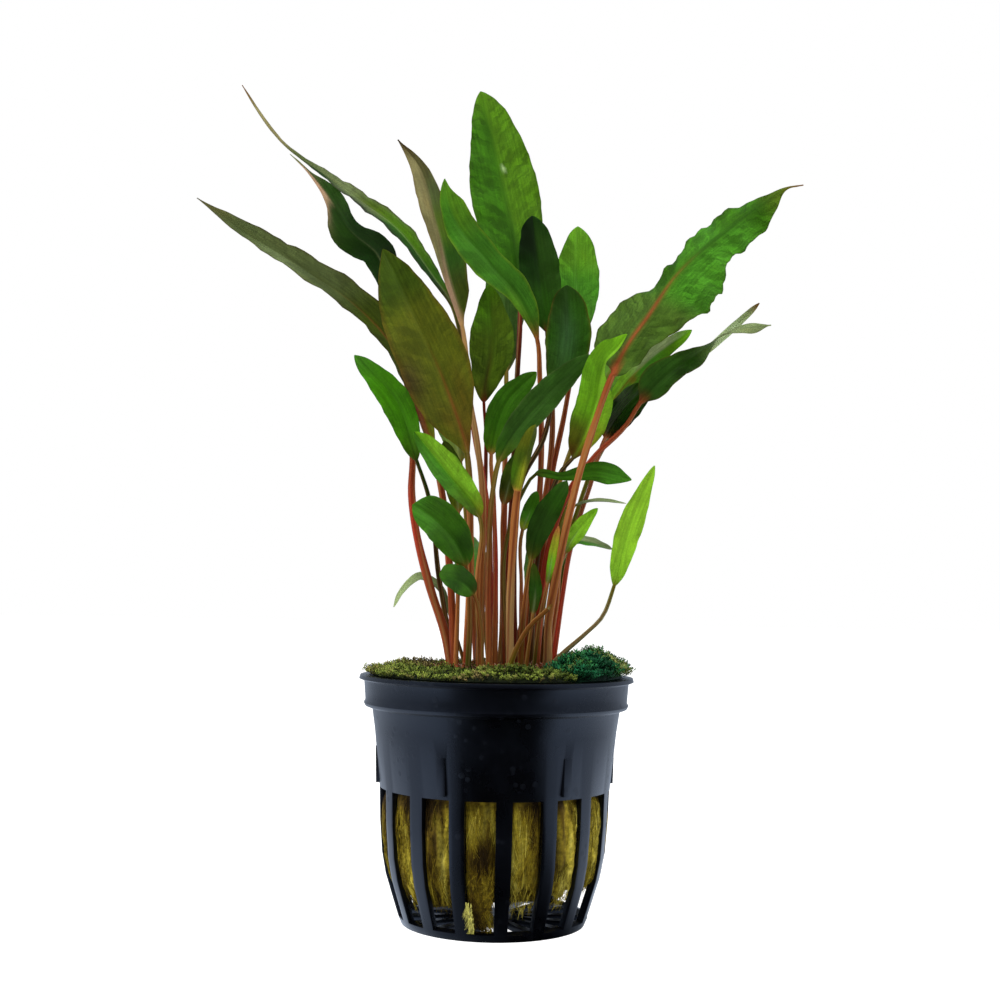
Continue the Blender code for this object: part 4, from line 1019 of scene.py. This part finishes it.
def pot_mesh():
    """The pot's wall and floor as one shell, with the cells of the slots left out."""
    angles, in_rib = [], []
    for rib in range(RIB_COUNT):
        start = RIB_PHASE + rib * RIB_PITCH - RIB_ANGLE / 2
        for first, span, count, ribbed in (
                (start, RIB_ANGLE, RIB_COLUMNS, True),
                (start + RIB_ANGLE, RIB_PITCH - RIB_ANGLE, SLOT_COLUMNS, False)):
            angles.extend(first + span * i / count for i in range(count))
            in_rib.extend([ribbed] * count)
    columns = len(angles)
    rows = len(POT_WALL) - 1
    points, index, faces = [], {}, []

    def corner(side, row, column):
        key = (side, row, column % columns)
        if key not in index:
            radius, height = POT_WALL[row][:2] if side == "outer" else POT_WALL[row][2:]
            index[key] = len(points)
            points.append(polar(radius, angles[key[2]], height))
        return index[key]

    def both_walls(start, end):
        return [corner("outer", *start), corner("inner", *start),
                corner("inner", *end), corner("outer", *end)]

    def solid(row, column):
        inside = 0 <= row < rows
        return inside and (row < SLOT_ROW or row == BASE_RING_ROW or in_rib[column % columns])

    for row in range(rows):
        for column in range(columns):
            if not solid(row, column):
                continue
            ring = [(row, column), (row, column + 1), (row + 1, column + 1), (row + 1, column)]
            beside = [(row - 1, column), (row, column + 1), (row + 1, column), (row, column - 1)]
            faces.append([corner("outer", *c) for c in ring])
            faces.append([corner("inner", *c) for c in reversed(ring)])
            for side in range(4):
                at_disc = side == 2 and row == rows - 1
                if not solid(*beside[side]) and not at_disc:
                    faces.append(both_walls(ring[side], ring[(side + 1) % 4]))
    for column in range(columns):
        if not solid(rows - 1, column):
            faces.append(both_walls((rows, column), (rows, column + 1)))
    for side in ("outer", "inner"):
        faces.append([corner(side, rows, column) for column in range(columns)])
    return points, faces


def fin_mesh():
    """Six wedges, flush with the wall at their top and proud of it at their foot."""
    points, faces = [], []
    for angle in FIN_ANGLES:
        first = len(points)
        for height, proud in FIN_ENDS:
            wall = wall_radius(height, "outer")
            for radius in (wall - FIN_ROOT, wall + proud):
                half = math.degrees(FIN_WIDTH / 2 / radius)
                points.append(polar(radius, angle - half, height))
                points.append(polar(radius, angle + half, height))
        faces.extend([first + corner for corner in face] for face in FIN_FACES)
    return points, faces


def apply_modifiers(obj):
    """Turn an object's modifiers into its mesh."""
    graph = bpy.context.evaluated_depsgraph_get()
    made = bpy.data.meshes.new_from_object(obj.evaluated_get(graph), depsgraph=graph)
    obj.modifiers.clear()
    obj.data = made


def pot_material():
    """Black plastic with a cool tint, fine moulding grain, and round spots in place of water drops:
    rougher and raised, and lighter in colour as a painted glint.
    """
    n = Nodes(bpy.data.materials.new("black_plastic_fine"))
    place = n.add("TexCoord").outputs["Object"]
    cloud = n.noise(place, 90.0, 4.0)
    speck = n.noise(place, 1500.0, 2.0)
    drop_cells = n.add("TexVoronoi", {"Vector": place, "Scale": 520.0, "Randomness": 1.0})
    drop_mark_and_glint = n.times(n.remap(drop_cells.outputs["Distance"], 0.34, 0.22),
                   n.remap(n.noise(place, 160.0, 2.0), 0.5, 0.62))
    scratch = n.noise(n.scaled(place, 1.0, 1.0, 0.15), 700.0, 3.0)
    colour = n.mix(n.remap(cloud, 0.35, 0.65), (0.0006, 0.0007, 0.0012, 1.0),
                   (0.0012, 0.0014, 0.0026, 1.0))
    # The spots' lighter colour is a painted glint of water drops; their roughness and bump stand
    # for the drops on the surface
    colour = n.mix(n.times(drop_mark_and_glint, 0.12), colour, (0.012, 0.014, 0.02, 1.0))
    rough = n.plus(n.remap(cloud, 0.3, 0.7, 0.22, 0.31), n.times(drop_mark_and_glint, 0.14))
    rough = n.plus(rough, n.times(scratch, 0.06))
    height = n.plus(n.times(speck, 0.25), n.times(drop_mark_and_glint, 0.6))
    bump = n.first("Bump", {"Strength": 0.3, "Distance": 0.00008, "Height": height})
    return n.finish(n.first("BsdfPrincipled", {"Base Color": colour, "Roughness": rough,
                                               "Normal": bump,
                                               "Specular Tint": (0.68, 0.78, 0.96, 1.0)}))


def make_pot():
    """Net pot with rounded edges and its fins joined on."""
    plastic = pot_material()
    pot = new_object("moulded_net_pot", *pot_mesh(), plastic, smooth=WALL_CREASE)
    fins = new_object("fin_shapes", *fin_mesh(), plastic)
    join = pot.modifiers.new("fins", "BOOLEAN")
    join.operation = "UNION"
    join.object = fins
    round_off = pot.modifiers.new("edges", "BEVEL")
    round_off.width = EDGE_RADIUS * MM
    round_off.segments = 2
    round_off.limit_method = "ANGLE"
    round_off.angle_limit = math.radians(EDGE_ANGLE)
    apply_modifiers(pot)
    bpy.data.objects.remove(fins, do_unlink=True)
    pot.data.shade_smooth()
    pot.data.set_sharp_from_angle(angle=math.radians(POT_CREASE))
    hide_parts("net_pot")
    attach(pot, "root")


def value_noise(draw, size):
    """Smooth random field: a function of arrays of points in millimetres."""
    count = 24
    waves = draw.normal(0.0, 1.0, (count, 3)) / size
    phases = draw.uniform(0.0, 2.0 * math.pi, count)

    def field(points, stretch=(1.0, 1.0, 1.0)):
        turned = (np.asarray(points, float) * stretch) @ waves.T + phases
        return np.sin(turned).sum(-1) / math.sqrt(count / 2)

    return field


# How far a moss leaflet is arched, and how thick it is, as shares of its length and its width
LEAFLET_ARCH = 0.12
LEAFLET_THICKNESS = 0.18
LEAFLET_FACES = ((0, 1, 4), (1, 2, 4), (2, 3, 4), (3, 0, 4), (1, 0, 5), (2, 1, 5), (3, 2, 5),
                 (0, 3, 5))


def unit(vector):
    """A vector's direction, at length 1."""
    return vector / (np.linalg.norm(vector) + 1e-9)


class Tufts:
    """Collects many small strands and leaflets as one mesh."""

    def __init__(self):
        self.verts, self.faces, self.colours = [], [], []

    def add_rings(self, rings, colours):
        """A closed surface through rings of points, with its ends filled."""
        first = len(self.verts)
        for ring, tints in zip(rings, colours):
            self.verts.extend(ring)
            self.colours.extend((*tint, 1.0) for tint in tints)
        self.faces.extend(tuple(first + corner for corner in face)
                          for face in ring_faces(len(rings), len(rings[0])))

    def strand(self, points, radius, colour, tip=0.4, sides=3):
        """A thin closed tube through points."""
        points = np.asarray(points, float)
        turns = 2.0 * math.pi * np.arange(sides) / sides
        rings = []
        for i, (point, step) in enumerate(zip(points, np.gradient(points, axis=0))):
            step = unit(step)
            aside = unit(np.cross(step, (0.31, 0.57, 0.76)))
            other = np.cross(step, aside)
            size = radius * (1.0 - (1.0 - tip) * i / (len(points) - 1))
            rings.append([point + size * (aside * math.cos(turn) + other * math.sin(turn))
                          for turn in turns])
        self.add_rings(rings, [[colour] * sides] * len(points))

    def leaflet(self, root, direction, normal, length, width, colour):
        """A small pointed leaflet, closed and a little arched."""
        across = unit(np.cross(direction, normal))
        up = np.cross(across, direction)
        middle = root + direction * length * 0.5 + up * length * LEAFLET_ARCH
        tip = root + direction * length
        thick = up * width * LEAFLET_THICKNESS
        first = len(self.verts)
        self.verts.extend((root, middle + across * width, tip, middle - across * width,
                           middle + thick, middle - thick))
        self.colours.extend([(*colour, 1.0)] * 6)
        self.faces.extend(tuple(first + corner for corner in face) for face in LEAFLET_FACES)


def make_piece(name, tufts, mat, node, smooth):
    """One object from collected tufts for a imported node, which shares its slot's name."""
    piece = new_object(name, tufts.verts, tufts.faces, mat, tufts.colours, smooth=smooth)
    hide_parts(node)
    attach(piece, "root")


# Wool in the pot: gap to the wall, then the heights of its foot, of the neck and of the slots' top
FIT_GAP = 0.35
WOOL_FOOT = 4.4
WOOL_NECK = 41.0
WOOL_OPEN_TOP = 26.0
# How far the wool bulges into a slot, by height, and the share of that which is used
WOOL_BULGES = ((4.4, 0.0), (6.4, 0.8), (9.8, 1.5), (14.0, 1.7), (20.0, 1.7), (24.2, 1.1),
               (26.0, 0.0), (41.0, 0.0), (46.8, 0.0))
WOOL_SWELL = 0.55
WOOL_TONES = np.array([linear(30, 20, 3), linear(68, 54, 8), linear(106, 92, 20),
                       linear(132, 120, 36), linear(156, 146, 64)])
PALE_WOOL = np.array(linear(168, 164, 84))
# Length of one degree on the wool's surface
WOOL_DEGREE = 0.38
# Fibres in each slot: on the surface, and frayed at the hem
SLOT_FIBRES = 190
HEM_FIBRES = 34
# Middle of the front slot, where the wool hangs down in a loose flap
FLAP_ANGLE = RIB_PHASE - RIB_PITCH / 2
FLAP_FIBRES = 420
TORN_FIBRES = 130
# Radius of the flap and of its torn edge, by height
FLAP_RADII = ((1.6, 18.3), (6.0, 20.6), (13.5, 21.6))
TORN_RADII = ((1.4, 19.0), (6.0, 21.0), (9.0, 21.6))
# How far the hem may drop below the foot
HEM_DROP = 2.4
# How much higher the hem stands, by angle: a big gap shows at the right
HEM_LIFTS = ((-115.0, 0.0), (-74.0, 2.2), (-51.0, 0.5), (-29.0, 1.2), (-7.0, 0.0), (16.0, 1.2),
             (38.0, 1.9), (61.0, 4.0), (85.0, 2.2), (120.0, 0.0))


def wool_radius(degrees, height):
    """Radius of the rock wool: pressed flat behind a rib and swollen in a slot."""
    off = np.abs(((degrees - RIB_PHASE) % RIB_PITCH) - RIB_PITCH / 2)
    half_slot = (RIB_PITCH - RIB_ANGLE) / 2
    swell = 1.0 - smooth_step(half_slot * 0.7, half_slot * 1.15, off)
    wall = np.minimum(wall_radius(height, "inner"), wall_radius(WOOL_NECK, "inner"))
    return wall - FIT_GAP + along_rows(height, WOOL_BULGES) * swell * WOOL_SWELL


def wool_colours(fields, points):
    """Mottled yellow-brown, with dark brown streaks that run down, darker on the left, and painted
    shade under the collar and in a hollow above the flap.
    """
    cloud, streak = fields
    x, y, z = np.moveaxis(np.asarray(points, float), -1, 0)
    tone = 0.54 + 0.17 * cloud(points, (1.2, 1.2, 0.4)) + 0.15 * streak(points, (2.4, 2.4, 0.5))
    # Darker on the left, painted shade under the collar, and painted shade in a hollow just above
    # the flap
    tone = tone - 0.2 + 0.28 * smooth_step(-6.0, 6.0, x) - 0.34 * smooth_step(21.5, 26.0, z)
    angle = np.degrees(np.arctan2(x, -y)) - FLAP_ANGLE
    beside = np.hypot((angle - 1.0) / 6.0, (z - 15.5) / 3.0)
    above = np.hypot((angle - 3.5) / 3.5, (z - 20.0) / 5.0)
    tone = tone - 0.8 * np.exp(-beside**2) - 0.3 * np.exp(-above**2)
    place = np.clip(tone, 0.0, 0.999) * (len(WOOL_TONES) - 1)
    span = place.astype(int)
    colour = blend(WOOL_TONES[span], WOOL_TONES[span + 1], place - span)
    dark = 0.6 * smooth_step(1.2, 2.1, streak(points + 40.0, (1.0, 1.0, 0.3)))
    return blend(colour, WOOL_TONES[0], dark)


def hem_lift(degrees):
    """How much higher the wool's ragged hem stands at an angle."""
    return along_rows((np.asarray(degrees) + 180.0) % 360.0 - 180.0, HEM_LIFTS)


def add_wool_body(wool, draw):
    """Lumpy plug with a ragged hem. Returns the two fields that colour all the wool."""
    lumps, fine, hem = (value_noise(draw, size) for size in (2.4, 0.7, 3.0))
    fields = (value_noise(draw, 3.0), value_noise(draw, 1.2))
    heights = np.concatenate([np.linspace(WOOL_FOOT, 27.0, 64), np.linspace(30.0, 46.6, 6)])
    heights = heights[:, None]
    angles = np.arange(0.0, 360.0, 1.0)[None, :]
    ring = polar(20.0, angles, 0.0)
    ragged = 1.2 + hem(ring) + 0.5 * fine(ring) + hem_lift(angles)
    off = (angles - FLAP_ANGLE + 180.0) % 360.0 - 180.0
    ragged = ragged - (ragged + HEM_DROP) * np.exp(-(off / 5.0) ** 4)
    rise = heights + np.maximum(ragged, -HEM_DROP) * (1.0 - smooth_step(WOOL_FOOT, 17.0, heights))
    radius = wool_radius(angles, heights)
    grid = polar(radius, angles, rise)
    push = 0.32 * lumps(grid, (1.0, 1.0, 0.5)) + 0.16 * fine(grid, (1.3, 1.3, 0.25))
    shrink = 1.3 * (1.0 - smooth_step(WOOL_FOOT, 5.6, heights))
    grid = polar(radius + push * (heights < WOOL_OPEN_TOP) - shrink, angles, rise)
    shade = draw.uniform(0.75, 1.2, grid.shape[:2])[..., None]
    wool.add_rings(grid, wool_colours(fields, grid) * shade)
    return fields


def add_slot_fibres(wool, draw, fields, middle):
    """Fibres on the wool in one slot, and frayed ones that hang from its hem."""
    t = np.linspace(-0.5, 0.5, 5)
    hem = hem_lift(middle)
    for _ in range(SLOT_FIBRES):
        lean, length = draw.normal(0.0, 0.22), draw.uniform(1.5, 6.5)
        swing = lean * length * t + draw.normal(0.0, 0.4) * (2.0 * t * t - 0.5)
        along = middle + draw.uniform(-6.8, 6.8) + swing / WOOL_DEGREE
        along = np.clip(along, middle - 7.2, middle + 7.2)
        up = np.clip(draw.uniform(6.2 + hem, 25.0) + length * t, 5.0 + hem, 25.6)
        lift = draw.uniform(0.02, 0.4) * (1.0 - 2.4 * t * t)
        points = polar(wool_radius(along, up) + lift, along, up)
        tone = wool_colours(fields, points[2]) * draw.uniform(0.6, 1.7)
        wool.strand(points, draw.uniform(0.03, 0.08), tone)
    for _ in range(HEM_FIBRES):
        along = middle + draw.uniform(-7.4, 7.4) + draw.normal(0.0, 0.5) * t * 4.0
        up = hem + draw.uniform(4.6, 6.8) - draw.uniform(0.8, 2.4) * (t + 0.5)
        points = polar(wool_radius(along, np.maximum(up, WOOL_FOOT)) - 0.4, along, up)
        tone = wool_colours(fields, points[0]) * draw.uniform(0.6, 1.3)
        wool.strand(points, draw.uniform(0.04, 0.09), tone)


def add_flap(wool, draw, fields):
    """Loose flap in the front slot, with a pale torn tuft at its left edge."""
    t = np.linspace(-0.5, 0.5, 4)
    steps = np.arange(4)
    for _ in range(FLAP_FIBRES):
        along = FLAP_ANGLE + draw.uniform(-4.6, 6.3) + draw.normal(0.0, 0.5) * t * 5.0
        up = np.maximum(draw.uniform(2.2, 13.2) + draw.uniform(1.2, 3.6) * t, 1.9)
        radius = along_rows(up, FLAP_RADII) + draw.uniform(0.0, 0.35, 4)
        points = polar(radius, np.clip(along, FLAP_ANGLE - 6.0, FLAP_ANGLE + 7.0), up)
        tone = wool_colours(fields, points[1]) * draw.uniform(0.6, 1.4)
        wool.strand(points, draw.uniform(0.05, 0.1), tone)
    for _ in range(TORN_FIBRES):
        height = draw.uniform(2.6, 8.0)
        angle = FLAP_ANGLE - 6.9 + draw.uniform(0.0, 3.0) + (8.0 - height) * 0.2
        up = np.maximum(height - steps * draw.uniform(0.3, 0.7), 1.8)
        points = polar(along_rows(up, TORN_RADII) + 0.25, angle - 0.9 * steps * draw.random(), up)
        wool.strand(points, 0.08, PALE_WOOL * draw.uniform(0.45, 1.15), tip=0.2)


def make_wool():
    """Fibrous rock wool plug, with a torn flap low in the front slot."""
    draw = np.random.default_rng(21)
    wool = Tufts()
    fields = add_wool_body(wool, draw)
    for slot in range(RIB_COUNT):
        add_slot_fibres(wool, draw, fields, RIB_PHASE + (slot + 0.5) * RIB_PITCH)
    add_flap(wool, draw, fields)
    make_piece("fibrous_rock_wool", wool, tuft_material("wool_fibre", 0.85), "rock_wool", 180.0)


@dataclass
class Moss:
    """One growth of moss round the rim, from one angle to another.

    top is the height of the highest shoots, and length how long a shoot is. palette is a row of
    four tones and then the bed's colour, a dark painted shade deep among the shoots, given as
    8-bit screen values.
    """
    name: str
    node: str
    start: float
    end: float
    shoots: int
    top: float
    length: float
    palette: tuple

    def __post_init__(self):
        self.palette = [np.array(linear(*tone)) for tone in self.palette]


MOSSES = (Moss("olive_moss_mat", "olive_moss", -224.0, 36.0, 2500, 50.0, 1.9,
               ((30, 42, 10), (54, 64, 18), (86, 96, 34), (76, 66, 36), (18, 23, 9))),
          Moss("green_moss_cushion", "green_moss", 40.0, 132.0, 1700, 52.2, 2.5,
               ((8, 44, 22), (12, 62, 36), (32, 76, 32), (86, 92, 46), (4, 20, 11))))
# Level of the bed's middle, the degrees over which it rises at its ends, and between its rings
MOSS_LEVEL = 48.2
MOSS_END = 10.0
BED_STEP = 2.0
SHOOT_LEAFLETS = 7
# How far a shoot's tip sags, as a share of its length
SHOOT_SAG = np.array((0, 0, -0.25))


def moss_end(growth, angle):
    """How far an angle is from the ends of a growth of moss: 0 there, 1 where it is full."""
    return min(angle - growth.start, growth.end - angle) / MOSS_END


def add_moss_bed(moss, growth, draw, field):
    """Rounded bed below the shoots, dark as painted shade deep among them."""
    rings, colours = [], []
    for step in range(int((growth.end - growth.start) / BED_STEP) + 1):
        angle = growth.start + BED_STEP * step
        ends = min(1.0, moss_end(growth, angle))
        ring, row = [], []
        for turn in np.radians(np.arange(0.0, 360.0, 20.0)):
            radius = 19.6 + 5.2 * math.cos(turn)
            x, y, _ = polar(radius, angle, 0.0)
            crest = growth.top - 1.0 - MOSS_LEVEL + 0.5 * float(field((x, y, 0.0)))
            up = math.sin(turn)
            height = MOSS_LEVEL + (max(crest, 0.4) * ends if up > 0 else 1.0) * up
            ring.append((x, y, height))
            # The bed's dark colour is painted shade deep among the shoots
            row.append(growth.palette[4] * draw.uniform(0.5, 1.0))
        rings.append(ring)
        colours.append(row)
    moss.add_rings(rings, colours)


def add_shoot(moss, growth, draw, field, patch):
    """One leafy shoot at a random place on the bed."""
    angle = draw.uniform(growth.start, growth.end)
    across = draw.uniform(-1.0, 1.0)
    ends = min(1.0, moss_end(growth, angle) + 0.2)
    x, y, _ = polar(19.7 + 5.5 * across, angle, 0.0)
    crest = (growth.top - 1.2 - MOSS_LEVEL + 0.5 * float(field((x, y, 0.0)))) * ends
    root = np.array((x, y, MOSS_LEVEL + max(crest, 0.3) * math.sqrt(1 - across**2)))
    out = polar(1.0, angle, 0.0) * max(across, 0.0) * 1.1
    lean = unit(np.array((draw.normal(0, 0.45), draw.normal(0, 0.45), 1.0)) + out)
    size = growth.length * draw.uniform(0.55, 1.1)
    tone = 0.5 + 0.4 * float(patch((x, y, 0.0))) + draw.normal(0, 0.18)
    tone = min(max(tone, 0.0), 0.999) * 3
    low = int(tone)
    colour = blend(growth.palette[low], growth.palette[low + 1], tone - low)

    def at(t):
        return root + (lean * t + SHOOT_SAG * t * t) * size

    moss.strand([at(t) for t in (0.0, 0.35, 0.7, 1.0)], 0.07, colour * 0.7)
    for k in range(SHOOT_LEAFLETS):
        t = 0.25 + 0.75 * k / (SHOOT_LEAFLETS - 1)
        turn = 2.4 * k + draw.uniform(-0.4, 0.4)
        aside = unit(np.array((math.cos(turn), math.sin(turn), 0.5 + 0.5 * t)))
        moss.leaflet(at(t), aside, lean, size * draw.uniform(0.28, 0.42), 0.14,
                     colour * draw.uniform(0.75, 1.35) * (0.75 + 0.5 * t))


def make_moss():
    """Moss round the rim: a low olive mat and a taller dark green cushion."""
    draw = np.random.default_rng(5)
    mat = tuft_material("moss_leaflets", 0.6)
    for growth in MOSSES:
        moss = Tufts()
        field, patch = value_noise(draw, 2.0), value_noise(draw, 3.5)
        add_moss_bed(moss, growth, draw, field)
        for _ in range(growth.shoots):
            add_shoot(moss, growth, draw, field, patch)
        make_piece(growth.name, moss, mat, growth.node, 30.0)


# Root crown: its middle, its radii along X and Y, and the share of them and height of each ring
CROWN_CENTRE = np.array((0.7, -0.9))
CROWN_RADII = np.array((12.6, 11.4))
CROWN_RINGS = ((0.99, 47.4), (1.0, 48.2), (0.97, 48.8), (0.88, 49.2), (0.74, 49.4), (0.56, 49.5),
               (0.36, 49.6), (0.18, 49.6))
CROWN_CORNERS = 48
CROWN_FIBRES = 900
CROWN_TONES = ("dark_brown", "brown", "dark_olive", "olive", "beige", "red_brown")


def crown_place(share, angle):
    """X and Y at a share of the crown's radii."""
    return CROWN_CENTRE + share * CROWN_RADII * (math.cos(angle), math.sin(angle))


def make_crown():
    """Root crown: a lumpy mound of old stalk bases, fibres and a little moss."""
    draw = np.random.default_rng(9)
    lumps = value_noise(draw, 1.2)
    crown = Tufts()
    rings, colours = [], []
    for share, height in CROWN_RINGS:
        ring, row = [], []
        for step in range(CROWN_CORNERS):
            x, y = crown_place(share, 2.0 * math.pi * step / CROWN_CORNERS)
            ring.append((x, y, height + 0.25 * float(lumps((x, y, 0.0))) * (height > 48.5)))
            row.append(np.array(COLOURS["dark_brown"]) * draw.uniform(0.6, 1.5))
        rings.append(ring)
        colours.append(row)
    crown.add_rings(rings, colours)
    tones = [np.array(COLOURS[name]) for name in CROWN_TONES]
    for _ in range(CROWN_FIBRES):
        angle = draw.uniform(0.0, 2.0 * math.pi)
        root = np.array((*crown_place(1.08 * math.sqrt(draw.random()), angle), 49.1))
        lean = unit(np.array((draw.normal(0, 0.6), draw.normal(0, 0.6), 0.9)))
        size = draw.uniform(1.0, 2.8)
        bend = np.array((draw.normal(0, 0.3), draw.normal(0, 0.3), -0.2))
        points = [root + (lean * t + bend * t * t) * size for t in (0.0, 0.35, 0.7, 1.0)]
        tone = tones[int(draw.integers(0, len(tones)))] * draw.uniform(0.6, 1.1)
        crown.strand(points, draw.uniform(0.07, 0.2), tone, tip=0.3)
    make_piece("fibrous_root_crown", crown, tuft_material("crown_fibre", 0.8), "root_crown", 180.0)


WHITE = (1.0, 1.0, 1.0, 1.0)
# Tint of what shiny surfaces mirror, and how bright the surround is for everything else
MIRROR_TINT = (0.8, 0.92, 1.12, 1.0)
FILL_LIGHT = 0.85
# Half the floor's side, and its height, in millimetres
FLOOR_HALF = 2500
FLOOR_LEVEL = -0.02
# Soft lights, in metres and watts: name, place, width, height and power. All turn to the plant.
SOFTBOXES = (("left_softbox", (-0.60, -0.10, 0.20), 0.55, 0.8, 7.5),
             ("right_softbox", (0.60, 0.02, 0.20), 0.55, 0.8, 6.5),
             ("top_softbox", (-0.1, -0.35, 0.75), 0.6, 0.5, 8.0),
             ("back_softbox", (0.1, 0.7, 0.35), 0.8, 0.5, 2.5))
PLANT_MIDDLE = Vector((0.0, 0.0, 0.08))


def by_ray(n, seen, mirrored, other):
    """One look for the camera, one for shiny surfaces and one for the rest."""
    kind = n.add("LightPath").outputs
    rest = n.first("MixShader", {0: kind["Is Glossy Ray"], 1: other, 2: mirrored})
    return n.finish(n.first("MixShader", {0: kind["Is Camera Ray"], 1: rest, 2: seen}))


def make_floor():
    """White floor, which is dark in front of the pot where the plastic mirrors it."""
    n = Nodes(bpy.data.materials.new("pale_floor"))
    place = n.add("TexCoord").outputs["Object"]
    parts = n.add("SeparateXYZ", {"Vector": place})
    x = n.math("SUBTRACT", parts.outputs["X"], 0.01)
    beside = n.plus(n.math("ABSOLUTE", x), n.times(parts.outputs["Y"], 0.75))
    near = n.add("VectorMath", {0: place}, operation="LENGTH").outputs["Value"]
    lit = n.times(n.remap(beside, -0.01, 0.03), n.remap(near, 0.04, 0.22, 1.25, 0.72))
    paper = n.first("BsdfDiffuse", {"Color": (0.3, 0.3, 0.3, 1.0)})
    seen = n.first("AddShader", {0: n.first("Emission", {"Color": WHITE, "Strength": 0.93}),
                                 1: paper})
    mat = by_ray(n, seen, n.first("Emission", {"Color": MIRROR_TINT, "Strength": lit}),
                 n.first("BsdfDiffuse", {"Color": (0.45, 0.45, 0.45, 1.0)}))
    corners = [(right * FLOOR_HALF, back * FLOOR_HALF, FLOOR_LEVEL)
               for right, back in ((-1, -1), (1, -1), (1, 1), (-1, 1))]
    new_object("floor", corners, [(0, 1, 2, 3)], mat)


def make_world():
    """White behind everything, and a soft surround that is dark in front and bright beside."""
    world = bpy.data.worlds.new("studio")
    n = Nodes(world, "OutputWorld")
    parts = n.add("SeparateXYZ", {"Vector": n.add("TexCoord").outputs["Generated"]})
    ramp = n.remap(parts.outputs["Y"], -0.9, -0.4, 0.01, 0.52)
    by_ray(n, *(n.first("Background", {"Color": colour, "Strength": strength})
                for colour, strength in ((WHITE, 1.0), (MIRROR_TINT, ramp), (WHITE, FILL_LIGHT))))
    bpy.context.scene.world = world


def make_stage():
    """Floor, soft lights and the camera at the photograph's angle."""
    make_floor()
    make_world()
    camera = bpy.data.cameras.new("camera")
    camera.lens = CAMERA_LENS
    camera.sensor_width = 36.0
    camera.clip_start = 0.01
    eye = place_object("camera", camera)
    turn = Matrix.Rotation(math.radians(90.0 + CAMERA_PITCH), 4, "X")
    roll = Matrix.Rotation(math.radians(CAMERA_ROLL), 4, "Z")
    eye.matrix_world = Matrix.Translation(Vector(CAMERA_PLACE) * MM) @ turn @ roll
    bpy.context.scene.camera = eye
    for name, place, width, height, power in SOFTBOXES:
        lamp = bpy.data.lights.new(name, "AREA")
        lamp.shape = "RECTANGLE"
        lamp.size = width
        lamp.size_y = height
        lamp.energy = power
        obj = place_object(name, lamp)
        obj.location = place
        obj.visible_glossy = False
        aim = PLANT_MIDDLE - Vector(place)
        obj.rotation_euler = aim.to_track_quat("-Z", "Y").to_euler()
    bpy.context.scene.view_settings.view_transform = "Standard"


make_stage()
make_pot()
make_wool()
make_moss()
make_crown()
make_leaves()
